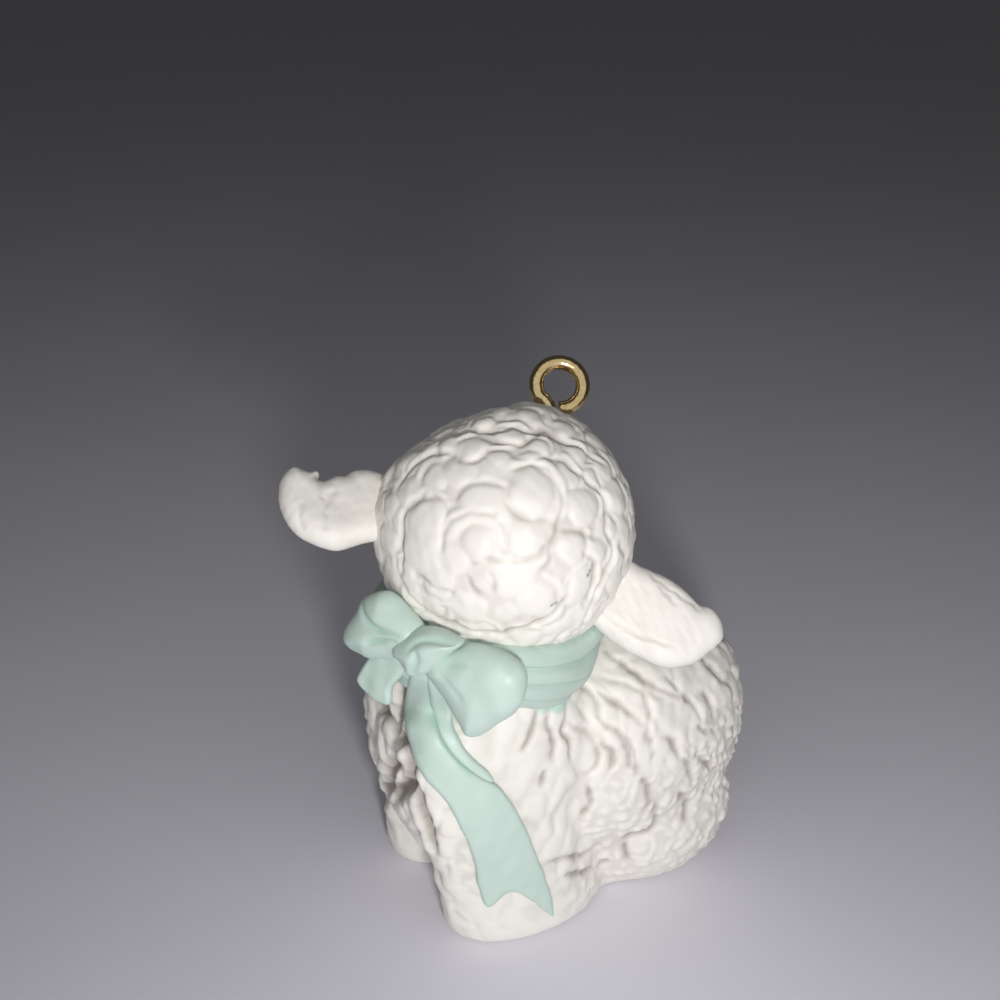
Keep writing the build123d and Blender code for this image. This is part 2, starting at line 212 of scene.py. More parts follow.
class Form:
    """A mesh that is being modelled, with its points in millimetres."""

    def __init__(self, thing: bpy.types.Object) -> None:
        """Takes over a mesh object.

        Args:
            thing: The object, at the origin and unturned.
        """
        self.thing = thing

    @classmethod
    def ellipsoid(cls, axes: Axes, radii: Sequence[float]) -> Form:
        """Sphere primitive stretched to three radii.

        Args:
            axes: Its middle and directions.
            radii: Its radii along those directions.

        Returns:
            The form.
        """
        bpy.ops.object.select_all(action="DESELECT")
        bpy.ops.mesh.primitive_uv_sphere_add(segments=ROUND_STEPS, ring_count=ROUND_STEPS // 2, radius=1)
        form = cls(bpy.context.object)
        stretched = np.diag(np.array(radii, float))
        form.place(axes.world(form.points() @ stretched))
        return form

    @classmethod
    def cylinder(cls, axes: Axes, radius: float, low: float, high: float) -> Form:
        """Cylinder primitive along the third direction.

        Args:
            axes: Its axis and directions.
            radius: Its radius.
            low: Where it starts along the axis.
            high: Where it ends.

        Returns:
            The form.
        """
        bpy.ops.object.select_all(action="DESELECT")
        bpy.ops.mesh.primitive_cylinder_add(vertices=ROUND_STEPS, radius=radius, depth=high - low)
        form = cls(bpy.context.object)
        form.place(axes.world(form.points() + np.array((0, 0, (low + high) / 2))))
        return form

    @classmethod
    def pad(cls, axes: Axes, outline: np.ndarray, thickness: float, rounding: float, size: float) -> Form:
        """Closed pad of an outline, crowned on both sides and rounded off to its edge.

        Args:
            axes: Place and directions of the plane that halves it.
            outline: Rows of its corners' two coordinates in that plane, in order.
            thickness: Its thickness in the middle.
            rounding: How far in from its edge it reaches that thickness.
            size: Size of the mesh's faces.

        Returns:
            The form.
        """
        bpy.ops.object.select_all(action="DESELECT")
        bpy.ops.mesh.primitive_circle_add(vertices=len(outline), radius=1, fill_type="NGON")
        form = cls(bpy.context.object)
        form.place(np.column_stack([outline, np.full(len(outline), -thickness / 2)]))
        form.edit(bpy.ops.mesh.extrude_region_move, TRANSFORM_OT_translate={"value": (0, 0, thickness)})
        form.edit(bpy.ops.mesh.normals_make_consistent, inside=False)
        form.remesh(size)
        points = form.points()
        ring = np.vstack([outline, outline[:1]])
        depth, _ = nearest(points[:, :2], ring)
        points[:, 2] *= np.sqrt(1 - (1 - np.clip(depth / rounding, 0, 1)) ** 2)
        form.place(axes.world(points))
        return form.remesh(size)

    @classmethod
    def wire(cls, axes: Axes, path: np.ndarray, radius: float) -> Form:
        """Round wire along a path.

        Args:
            axes: Axes that the path is given in.
            path: Rows of its points.
            radius: Radius of the wire.

        Returns:
            The form.
        """
        bpy.ops.object.select_all(action="DESELECT")
        bpy.ops.curve.primitive_nurbs_path_add()
        thing = bpy.context.object
        curve = thing.data
        curve.splines.clear()
        run = curve.splines.new("POLY")
        run.points.add(len(path) - 1)
        for point, place in zip(run.points, axes.world(path)):
            point.co = (*place, 1)
        curve.bevel_depth = radius
        curve.bevel_resolution = 10
        curve.use_fill_caps = True
        bpy.ops.object.convert(target="MESH")
        form = cls(bpy.context.object)
        form.edit(bpy.ops.mesh.remove_doubles, threshold=0.001)
        return form.edit(bpy.ops.mesh.normals_make_consistent, inside=False)

    @classmethod
    def copied(cls, nodes: dict[str, bpy.types.Object], *names: str) -> Form:
        """Copy of construction nodes, merged, with its points in millimetres.

        Args:
            nodes: The frame's nodes by name.
            names: The nodes to copy into one mesh.

        Returns:
            The form.
        """
        forms = []
        for name in names:
            thing = nodes[name].copy()
            thing.data = nodes[name].data.copy()
            thing.parent = None
            thing.modifiers.clear()
            for key in list(thing.keys()):
                del thing[key]
            bpy.context.scene.collection.objects.link(thing)
            form = cls(thing)
            form.place(form.points() / MM)
            form.edit(bpy.ops.mesh.remove_doubles, threshold=0.001)
            forms.append(form)
        return forms[0].join(*forms[1:])

    def choose(self) -> None:
        """Makes this the only selected and the active object."""
        bpy.ops.object.select_all(action="DESELECT")
        self.thing.select_set(True)
        bpy.context.view_layer.objects.active = self.thing

    def edit(self, action: Callable[..., Any], **settings: Any) -> Form:
        """Runs one edit-mode operator on the whole mesh.

        Args:
            action: The operator.
            settings: Its settings.

        Returns:
            This form.
        """
        self.choose()
        bpy.ops.object.mode_set(mode="EDIT")
        bpy.ops.mesh.select_all(action="SELECT")
        action(**settings)
        bpy.ops.object.mode_set(mode="OBJECT")
        return self

    def modify(self, kind: str, **settings: Any) -> Form:
        """Adds a modifier and applies it.

        Args:
            kind: The modifier's type.
            settings: Its settings.

        Returns:
            This form.
        """
        modifier = self.thing.modifiers.new(kind.title(), kind)
        for name, value in settings.items():
            setattr(modifier, name, value)
        self.choose()
        bpy.ops.object.modifier_apply(modifier=modifier.name)
        return self

    def join(self, *others: Form) -> Form:
        """Joins other forms into this one."""
        self.choose()
        for other in others:
            other.thing.select_set(True)
        bpy.ops.object.join()
        return self

    def cut(self, other: Form) -> Form:
        """Takes another form's volume away and removes that form."""
        self.modify("BOOLEAN", operation="DIFFERENCE", object=other.thing, solver="EXACT")
        bpy.data.objects.remove(other.thing)
        return self

    def above_ground(self) -> Form:
        """Cuts off and closes whatever is below the table."""
        ground = {"plane_co": (0, 0, 0), "plane_no": (0, 0, 1)}
        return self.edit(bpy.ops.mesh.bisect, **ground, use_fill=True, clear_inner=True)

    def remesh(self, size: float) -> Form:
        """Rebuilds the mesh as one skin of even square faces of a size."""
        return self.modify("REMESH", mode="VOXEL", voxel_size=size, use_smooth_shade=True)

    def relax(self, times: int, factor: float = 0.5) -> Form:
        """Smooths the mesh so many times."""
        return self.modify("SMOOTH", factor=factor, iterations=times)

    def points(self) -> np.ndarray:
        """Rows of the mesh's points."""
        rows = np.empty(len(self.thing.data.vertices) * 3)
        self.thing.data.vertices.foreach_get("co", rows)
        return rows.reshape(-1, 3)

    def normals(self) -> np.ndarray:
        """Rows of the outward directions at the points."""
        rows = np.empty(len(self.thing.data.vertices) * 3)
        self.thing.data.vertices.foreach_get("normal", rows)
        return rows.reshape(-1, 3)

    def place(self, points: np.ndarray) -> None:
        """Moves the mesh's points to these rows."""
        self.thing.data.vertices.foreach_set("co", points.astype(np.float32).ravel())
        self.thing.data.update()

    def lift(self, heights: np.ndarray) -> None:
        """Moves each point outwards by its height."""
        self.place(self.points() + self.normals() * heights[:, None])

    def blur(self, values: np.ndarray, times: int) -> np.ndarray:
        """Evens values out between neighbouring points.

        Args:
            values: One value for each point.
            times: How often each is mixed with its neighbours' mean.

        Returns:
            The evened values.
        """
        mesh = self.thing.data
        edges = np.empty(len(mesh.edges) * 2, np.int32)
        mesh.edges.foreach_get("vertices", edges)
        ends = edges.reshape(-1, 2)
        count = len(values)
        degree = np.bincount(edges, minlength=count)
        for _ in range(times):
            near = np.bincount(ends[:, 0], weights=values[ends[:, 1]], minlength=count)
            near += np.bincount(ends[:, 1], weights=values[ends[:, 0]], minlength=count)
            values = (values + near / np.maximum(degree, 1)) / 2
        return values

    def struck(self, start: Vector, ways: Iterable[Vector]) -> np.ndarray:
        """Where lines from one place first meet the form, leaving out those that miss it."""
        bpy.context.view_layer.update()
        found = [self.thing.ray_cast(start, way) for way in ways]
        return np.array([place for met, place, _, _ in found if met]).reshape(-1, 3)

    def mark(self, name: str, values: np.ndarray) -> None:
        """Stores one value for each point, which the material reads by name."""
        attribute = self.thing.data.attributes.new(name, "FLOAT", "POINT")
        attribute.data.foreach_set("value", values.astype(np.float32))

    def finish(self, name: str, material: bpy.types.Material, slot: Slot, *nodes: str) -> bpy.types.Object:
        """Scales the form to metres, dresses it and sets it on the frame.

        Args:
            name: Name of the piece.
            material: Its finish.
            slot: The record's slot of that finish; not used.
            nodes: Construction nodes that it stands for.

        Returns:
            The finished object.
        """
        self.place(self.points() * MM)
        self.choose()
        bpy.ops.object.shade_smooth()
        thing = self.thing
        thing.name = name
        thing.data.name = name
        thing.data.materials.clear()
        thing.data.materials.append(material)
        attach(thing, "root")
        if nodes:
            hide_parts(*nodes)
        LOG.info("%s: %d faces", name, len(thing.data.polygons))
        return thing


@dataclass(frozen=True)
class PhotoView:
    """The camera that took the photograph, worked out from the figure and the table.

    Attributes:
        place: Where the lens was, in millimetres.
        heading: Direction that it looked in, over the table.
        pitch: How far it looked down.
        focal: Focal length in pixels of a frame of that many pixels.
        frame: Width of the square frame in pixels.
        sensor: Width of the sensor in millimetres.
    """

    place: tuple[float, float, float] = (48.23, 97.97, 107.0)
    heading: float = 244.0
    pitch: float = 28.0
    focal: float = 1200.0
    frame: float = 1000.0
    sensor: float = 36.0

    def axes(self) -> Axes:
        """Right, up and backwards of the view."""
        turned = turn("Z", self.heading - 90) @ turn("X", 90 - self.pitch)
        return Axes(Vector(self.place), turned)

    def camera(self) -> bpy.types.Object:
        """Creates the camera and makes it the scene's.

        Returns:
            The camera object.
        """
        data = bpy.data.cameras.new("photo_view")
        data.sensor_width = self.sensor
        data.lens = self.focal / self.frame * self.sensor
        data.clip_start = 0.001
        data.clip_end = 100
        thing = bpy.data.objects.new("photo_view", data)
        bpy.context.scene.collection.objects.link(thing)
        axes = self.axes()
        thing.matrix_world = Matrix.Translation(axes.origin * MM) @ axes.turned.to_4x4()
        bpy.context.scene.camera = thing
        return thing

    def ray(self, across: float, down: float) -> Vector:
        """Direction in which a pixel of the frame looks.

        Args:
            across: Pixels from the frame's left edge.
            down: Pixels from its top edge.

        Returns:
            A direction of length one.
        """
        half = self.frame / 2
        ray = Vector(((across - half) / self.focal, (half - down) / self.focal, -1))
        return (self.axes().turned @ ray).normalized()

    def marks(self, form: Form, pixels: Sequence[Pixel]) -> np.ndarray:
        """Places on a form that pixels of the frame show.

        Args:
            form: The form.
            pixels: Pixels across and down.

        Returns:
            Rows of points, without those pixels that miss the form.
        """
        return form.struck(Vector(self.place), [self.ray(*pixel) for pixel in pixels])

    def laid(self, axes: Axes, pixels: Sequence[Pixel]) -> np.ndarray:
        """Places on a plane that pixels of the frame show.

        Args:
            axes: Place and directions of the plane.
            pixels: Pixels across and down.

        Returns:
            Rows of their two coordinates in the plane.
        """
        start = axes.local(np.array(self.place)[None])[0]
        ways = np.array([self.ray(*pixel) for pixel in pixels]) @ np.array(axes.turned)
        places = start - ways * (start[2] / ways[:, 2])[:, None]
        return places[:, :2]

    def furrows(self, form: Form, lines: Iterable[Line], half_width: float, depth: float) -> list[Furrow]:
        """Grooves pressed into a form along lines of pixels.

        Args:
            form: The form.
            lines: Lines of pixels across and down.
            half_width: Half the width of each groove.
            depth: Its depth.

        Returns:
            The grooves.
        """
        return [Furrow(self.marks(form, rounded(line)), half_width, depth) for line in lines]


def add_node(
    tree: bpy.types.NodeTree,
    kind: str,
    settings: dict[str | int, Any] | None = None,
    links: dict[str | int, bpy.types.NodeSocket] | None = None,
) -> bpy.types.Node:
    """Adds a shader node with its settings and links.

    Args:
        tree: The material's node tree.
        kind: The node's type.
        settings: Values by the name or number of an input, or by the name of a property.
        links: Sockets by the name or number of the input that they feed.

    Returns:
        The node.
    """
    node = tree.nodes.new(kind)
    for name, value in (settings or {}).items():
        if isinstance(name, int) or name in node.inputs:
            node.inputs[name].default_value = value
        else:
            setattr(node, name, value)
    for name, socket in (links or {}).items():
        tree.links.new(socket, node.inputs[name])
    return node


def new_material(name: str) -> tuple[bpy.types.Material, bpy.types.NodeTree]:
    """Empty node material with an output to be fed.

    Args:
        name: Name of the finish.

    Returns:
        The material and its tree.
    """
    material = bpy.data.materials.new(name)
    material.use_nodes = True
    material.node_tree.nodes.clear()
    return material, material.node_tree


def per_metre(size: float) -> float:
    """Texture scale for a pattern whose features are a size in millimetres."""
    return 1 / (size * MM)


@dataclass(frozen=True)
class Fired:
    """A ceramic finish, with faint clouds in its colour and gloss and the grain of the fired skin.

    Attributes:
        name: Name of the material.
        gloss: Roughness, from least to most.
        clouds: Size of the clouds.
        detail: How many finer layers they have.
        grain: Size of the grain.
        bump: Its strength.
        depth: Its depth.
    """

    name: str
    gloss: tuple[float, float]
    clouds: float
    detail: float
    grain: float
    bump: float
    depth: float = 0.03

    def colour(self, tree: bpy.types.NodeTree, clouds: bpy.types.NodeSocket) -> bpy.types.NodeSocket:
        """Adds the finish's own colours.

        Args:
            tree: The material's node tree.
            clouds: Where the clouds come from.

        Returns:
            Where the colour comes from.
        """
        raise NotImplementedError

    def make(self) -> bpy.types.Material:
        """Builds the material.

        Returns:
            The material.
        """
        material, tree = new_material(self.name)
        place = add_node(tree, "ShaderNodeTexCoord").outputs["Object"]
        clouds, grain = (
            add_node(
                tree, "ShaderNodeTexNoise", {"Scale": per_metre(size), "Detail": detail}, {"Vector": place}
            ).outputs["Fac"]
            for size, detail in ((self.clouds, self.detail), (self.grain, 3.0))
        )
        rough = add_node(
            tree, "ShaderNodeMapRange", {"To Min": self.gloss[0], "To Max": self.gloss[1]}, {"Value": clouds}
        )
        bump = add_node(
            tree, "ShaderNodeBump", {"Strength": self.bump, "Distance": self.depth * MM}, {"Height": grain}
        )
        links = {
            "Base Color": self.colour(tree, clouds),
            "Roughness": rough.outputs["Result"],
            "Normal": bump.outputs["Normal"],
        }
        shader = add_node(tree, "ShaderNodeBsdfPrincipled", {"IOR": CERAMIC_IOR}, links)
        add_node(tree, "ShaderNodeOutputMaterial", links={"Surface": shader.outputs["BSDF"]})
        return material


@dataclass(frozen=True)
class Bisque(Fired):
    """Unglazed porcelain, slip-cast and fired: warm white, matt, with a faint satin where it was fettled.

    Attributes:
        white: The fired body.
        crevice_shade: Painted shade in the grooves of the wool: a grey mixed in where less light would reach.
        shade_share: How much of that painted shade the deepest grooves take.
        mint: The underglaze colour of the ribbon, where it has run onto the wool.
        speck: Small kiln specks.
    """

    name: str = "bisque_porcelain"
    gloss: tuple[float, float] = (0.42, 0.62)
    clouds: float = 3.5
    detail: float = 4.0
    grain: float = 0.16
    bump: float = 0.25
    white: str = "#F0ECE4"
    crevice_shade: str = "#A9A198"
    shade_share: float = 0.6
    mint: str = "#C2D8CD"
    speck: str = "#5E554C"

    def colour(self, tree: bpy.types.NodeTree, clouds: bpy.types.NodeSocket) -> bpy.types.NodeSocket:
        """Adds the white, over it the painted shade that the attribute groove brings, then what tint and
        speck bring.

        Args:
            tree: The material's node tree.
            clouds: Where the clouds come from.

        Returns:
            Where the colour comes from.
        """
        groove, tint, speck = (
            add_node(tree, "ShaderNodeAttribute", {"attribute_name": name}).outputs["Fac"]
            for name in ("groove", "tint", "speck")
        )
        # Painted shade: a grey is mixed over the white where the attribute groove marks the wool's grooves,
        # more so in the clouds.
        links = {0: clouds, 1: groove, 2: groove}
        amount = add_node(tree, "ShaderNodeMath", {"operation": "MULTIPLY_ADD"}, links).outputs[0]
        shade_share = add_node(tree, "ShaderNodeMath", {"operation": "MULTIPLY", 1: self.shade_share}, {0: amount})
        under = {}
        for share, over in ((shade_share.outputs[0], self.crevice_shade), (tint, self.mint), (speck, self.speck)):
            colours = {"data_type": "RGBA", 6: linear(self.white), 7: linear(over)}
            colour = add_node(tree, "ShaderNodeMix", colours, {0: share, **under}).outputs[2]
            under = {6: colour}
        return colour


@dataclass(frozen=True)
class MintSlip(Fired):
    """Mint underglaze colour on the clay ribbon: even and pale, with a slight satin sheen.

    Attributes:
        light: The colour where it is brushed thin.
        deep: The darker mint, mixed in by the brushed clouds, and as painted shade in the folds and pleats.
        faint: Share of the deep colour in the brushed clouds, from least to most.
    """

    name: str = "mint_underglaze"
    gloss: tuple[float, float] = (0.34, 0.5)
    clouds: float = 2.2
    detail: float = 5.0
    grain: float = 0.14
    bump: float = 0.2
    light: str = "#CBDCD3"
    deep: str = "#A8C6B9"
    faint: tuple[float, float] = (0.05, 0.35)

    def colour(self, tree: bpy.types.NodeTree, clouds: bpy.types.NodeSocket) -> bpy.types.NodeSocket:
        """Adds the mint, deeper in the clouds, and darker as painted shade where the attribute groove says.

        Args:
            tree: The material's node tree.
            clouds: Where the clouds come from.

        Returns:
            Where the colour comes from.
        """
        groove = add_node(tree, "ShaderNodeAttribute", {"attribute_name": "groove"}).outputs["Fac"]
        shares = {"To Min": self.faint[0], "To Max": self.faint[1]}
        faint = add_node(tree, "ShaderNodeMapRange", shares, {"Value": clouds}).outputs["Result"]
        # Painted shade: the attribute groove adds the darker mint along folds, pleats and creases, over the
        # clouds.
        clouds_plus_shade = {"operation": "ADD", "use_clamp": True}
        amount = add_node(tree, "ShaderNodeMath", clouds_plus_shade, {0: faint, 1: groove}).outputs[0]
        colours = {"data_type": "RGBA", 6: linear(self.light), 7: linear(self.deep)}
        return add_node(tree, "ShaderNodeMix", colours, {0: amount}).outputs[2]


@dataclass(frozen=True)
class Mottled:
    """A finish of two colours that a fine noise mixes, with gloss and grain after the same noise.

    Attributes:
        name: Name of the material.
        main: Its colour.
        other: The colour that the noise mixes in.
        gloss: Roughness, from least to most.
        spots: Size of the noise.
        detail: How many finer layers the noise has.
        bump: Strength of the grain, nought for none.
        depth: Depth of the grain.
        metal: Whether it is bare metal.
    """

    name: str
    main: str
    other: str
    gloss: tuple[float, float]
    spots: float = 0.5
    detail: float = 3.0
    bump: float = 0.0
    depth: float = 0.0
    metal: bool = False

    def make(self) -> bpy.types.Material:
        """Builds the material.

        Returns:
            The material.
        """
        material, tree = new_material(self.name)
        place = add_node(tree, "ShaderNodeTexCoord").outputs["Object"]
        noise = {"Scale": per_metre(self.spots), "Detail": self.detail}
        spots = add_node(tree, "ShaderNodeTexNoise", noise, {"Vector": place}).outputs["Fac"]
        colours = {"data_type": "RGBA", 6: linear(self.main), 7: linear(self.other)}
        links = {"Base Color": add_node(tree, "ShaderNodeMix", colours, {0: spots}).outputs[2]}
        settings = {"Metallic": 1.0} if self.metal else {"IOR": CERAMIC_IOR}
        least, most = self.gloss
        if least == most:
            settings["Roughness"] = least
        else:
            rough = add_node(tree, "ShaderNodeMapRange", {"To Min": least, "To Max": most}, {"Value": spots})
            links["Roughness"] = rough.outputs["Result"]
        if self.bump > 0:
            grain = {"Strength": self.bump, "Distance": self.depth * MM}
            links["Normal"] = add_node(tree, "ShaderNodeBump", grain, {"Height": spots}).outputs["Normal"]
        shader = add_node(tree, "ShaderNodeBsdfPrincipled", settings, links)
        add_node(tree, "ShaderNodeOutputMaterial", links={"Surface": shader.outputs["BSDF"]})
        return material


@dataclass(frozen=True)
class DrawnBrass(Mottled):
    """Brass wire, bent and tumbled bright: a yellow metal with faint draw lines and handling marks."""

    name: str = "drawn_brass"
    main: str = "#FBEBC0"
    other: str = "#D3AC5C"
    gloss: tuple[float, float] = (0.08, 0.24)
    detail: float = 5.0
    bump: float = 0.55
    depth: float = 0.06
    metal: bool = True


@dataclass(frozen=True)
class PlasterFiller(Mottled):
    """White filler that holds the wire in the crown: chalky, wiped off by hand, greyer than the clay."""

    name: str = "plaster_filler"
    main: str = "#E4DED2"
    other: str = "#B9B1A5"
    gloss: tuple[float, float] = (0.8, 0.8)
    spots: float = 0.3
    detail: float = 4.0
    bump: float = 0.5
    depth: float = 0.08


@dataclass(frozen=True)
class EyePaint(Mottled):
    """Black china paint, put on with a fine brush and fired to a gloss: the eyes."""

    name: str = "china_paint_black"
    main: str = "#1E1A19"
    other: str = "#3A322E"
    gloss: tuple[float, float] = (0.25, 0.25)


@dataclass(frozen=True)
class NosePaint(Mottled):
    """Rose china paint, put on thin and fired to a satin: the nose."""

    name: str = "china_paint_rose"
    main: str = "#C58F84"
    other: str = "#D9AFA4"
    gloss: tuple[float, float] = (0.5, 0.5)


@dataclass
class Curl:
    """A round curl of wool: a ball with an arm that winds round it.

    Attributes:
        middle: Its middle on the surface.
        along: Direction that its arm starts in.
        across: Direction a quarter turn on.
        radius: Its radius.
        height: How far it stands out.
        ball: Radius of the ball, as a share of the curl's.
        arm: How far round the ball the arm reaches, as a share of a full turn.
    """

    middle: np.ndarray
    along: np.ndarray
    across: np.ndarray
    radius: float
    height: float
    ball: float = 0.6
    arm: float = 0.7

    def rise(self, points: np.ndarray) -> tuple[np.ndarray, np.ndarray]:
        """Heights that the curl gives to the points near it.

        Args:
            points: Rows of points.

        Returns:
            Numbers of the points that it reaches, and their heights.
        """
        away = points - self.middle
        reached = np.flatnonzero((away * away).sum(1) < (1.1 * self.radius) ** 2)
        away = away[reached]
        x = away @ self.along / self.radius
        y = away @ self.across / self.radius
        reach = np.hypot(x, y)
        rise = np.maximum(cushion(reach / self.ball), 0.45 * cushion(reach))
        if self.arm > 0:
            share = (np.arctan2(y, x) / TAU) % 1 / self.arm
            swell = np.sin(math.pi * np.clip(share, 0, 1)) ** 0.5
            middle = (1 + self.ball) / 2 - 0.12 * (share - 0.5)
            rise = np.maximum(rise, 0.92 * swell * arch((reach - middle) / (0.04 + 0.56 * (1 - self.ball))))
        return reached, self.height * rise


@dataclass(frozen=True)
class Mark:
    """Where the photograph shows a curl of the head.

    Attributes:
        across: Pixels from the frame's left edge.
        down: Pixels from its top edge.
        radius: The curl's radius in millimetres.
        ball: Radius of its ball, as a share.
        turn: Degrees to where its arm starts, anticlockwise from the frame's right.
        arm: How far round the arm reaches, and clockwise if it is below nought.
        height: Its height as a share of the highest.
    """

    across: float
    down: float
    radius: float
    ball: float = 1.0
    turn: float = 0.0
    arm: float = 0.0
    height: float = 0.8


@dataclass
class Furrow:
    """A groove between two locks, pressed along a line.

    Attributes:
        line: Rows of points along it.
        half_width: Half its width.
        depth: Its depth.
    """

    line: np.ndarray
    half_width: float
    depth: float

    def rise(self, points: np.ndarray) -> tuple[np.ndarray, np.ndarray]:
        """Heights, all below nought, that the groove gives to the points near it.

        Args:
            points: Rows of points.

        Returns:
            Numbers of the points that it reaches, and their heights.
        """
        low = self.line.min(0) - 2.5 * self.half_width
        high = self.line.max(0) + 2.5 * self.half_width
        reached = np.flatnonzero(((points > low) & (points < high)).all(1))
        gap, along = nearest(points[reached], self.line)
        fade = np.sin(math.pi * np.clip(along, 0.02, 0.98)) ** 0.4
        return reached, -self.depth * fade * bell(gap / self.half_width)


def rounded(pixels: Sequence[Pixel], closed: bool = False) -> list[Pixel]:
    """Line through pixels with its corners cut until it is smooth.

    Args:
        pixels: Its corners.
        closed: Whether the last one is joined to the first.

    Returns:
        The smooth line's points.
    """
    line = np.array(pixels, float)
    for _ in range(2):
        start = line if closed else line[:-1]
        end = np.roll(line, -1, axis=0) if closed else line[1:]
        between = np.stack([0.75 * start + 0.25 * end, 0.25 * start + 0.75 * end], axis=1).reshape(-1, 2)
        line = between if closed else np.vstack([line[:1], between, line[-1:]])
    return [tuple(pixel) for pixel in line]


@dataclass
class Lock:
    """A wavy lock of wool that lies over the next one.

    Attributes:
        middle: Its middle on the surface.
        along: Direction from its root to its tip.
        across: Direction across it.
        half_length: Half its length.
        half_width: Half its width.
        height: How far its tip stands out.
        bend: How far it bows to one side, as a share of its half width.
    """

    middle: np.ndarray
    along: np.ndarray
    across: np.ndarray
    half_length: float
    half_width: float
    height: float
    bend: float

    def rise(self, points: np.ndarray) -> tuple[np.ndarray, np.ndarray]:
        """Heights that the lock gives to the points near it.

        Args:
            points: Rows of points.

        Returns:
            Numbers of the points that it reaches, and their heights.
        """
        away = points - self.middle
        reached = np.flatnonzero((away * away).sum(1) < (1.1 * self.half_length) ** 2)
        away = away[reached]
        u = away @ self.along / self.half_length
        v = away @ self.across / self.half_width - self.bend * (u * u - 0.4)
        tip = 0.55
        rising = 0.2 + 0.8 * ease(u, -1, tip)
        long = np.where(u < tip, rising * np.sqrt(np.clip((u + 1) / 0.3, 0, 1)), arch((u - tip) / (1 - tip)))
        wide = 1 - 0.35 * np.clip(u, 0, 1) ** 2
        cross = arch(v / wide)
        return reached, self.height * long * cross


def spread(
    rng: np.random.Generator, points: np.ndarray, gap: np.ndarray, taken: Sequence[np.ndarray] = ()
) -> list[int]:
    """Picks points at random that keep a gap between them.

    Args:
        rng: Source of the order that they are tried in.
        points: Rows of points.
        gap: Least distance of each point from those picked.
        taken: Places that are filled already.

    Returns:
        Numbers of the picked points.
    """
    order = rng.permutation(len(points))
    places = [np.asarray(place) for place in taken]
    picked = []
    for number in order[:12000]:
        point = points[number]
        if gap[number] <= 0:
            continue
        if places:
            away = np.array(places) - point
            if (away * away).sum(1).min() < gap[number] ** 2:
                continue
        places.append(point)
        picked.append(int(number))
    return picked


def tangents(normal: np.ndarray, lead: np.ndarray, angle: float) -> tuple[np.ndarray, np.ndarray]:
    """Two directions in the surface, the first turned from a lead.

    Args:
        normal: Outward direction.
        lead: Direction that is laid into the surface.
        angle: Degrees by which the first is turned from it, seen from outside, anticlockwise.

    Returns:
        The first direction and the one a quarter turn on.
    """
    flat = lead - normal * (lead @ normal)
    flat = flat / max(np.linalg.norm(flat), 1e-6)
    side = np.cross(normal, flat)
    cosine = math.cos(math.radians(angle))
    sine = math.sin(math.radians(angle))
    first = flat * cosine + side * sine
    return first, np.cross(normal, first)


def clothed(points: np.ndarray, pieces: Iterable[Curl | Lock]) -> np.ndarray:
    """Heights of the wool that many curls or locks make, each point taking the highest.

    Args:
        points: Rows of points.
        pieces: The curls or locks.

    Returns:
        A height for each point.
    """
    heights = np.zeros(len(points))
    for piece in pieces:
        reached, rise = piece.rise(points)
        heights[reached] = np.maximum(heights[reached], rise)
    return heights


def furrowed(points: np.ndarray, furrows: Iterable[Furrow]) -> np.ndarray:
    """Heights, nought or below, of many grooves, each point taking the deepest.

    Args:
        points: Rows of points.
        furrows: The grooves.

    Returns:
        A height for each point.
    """
    heights = np.zeros(len(points))
    for furrow in furrows:
        reached, rise = furrow.rise(points)
        heights[reached] = np.minimum(heights[reached], rise)
    return heights


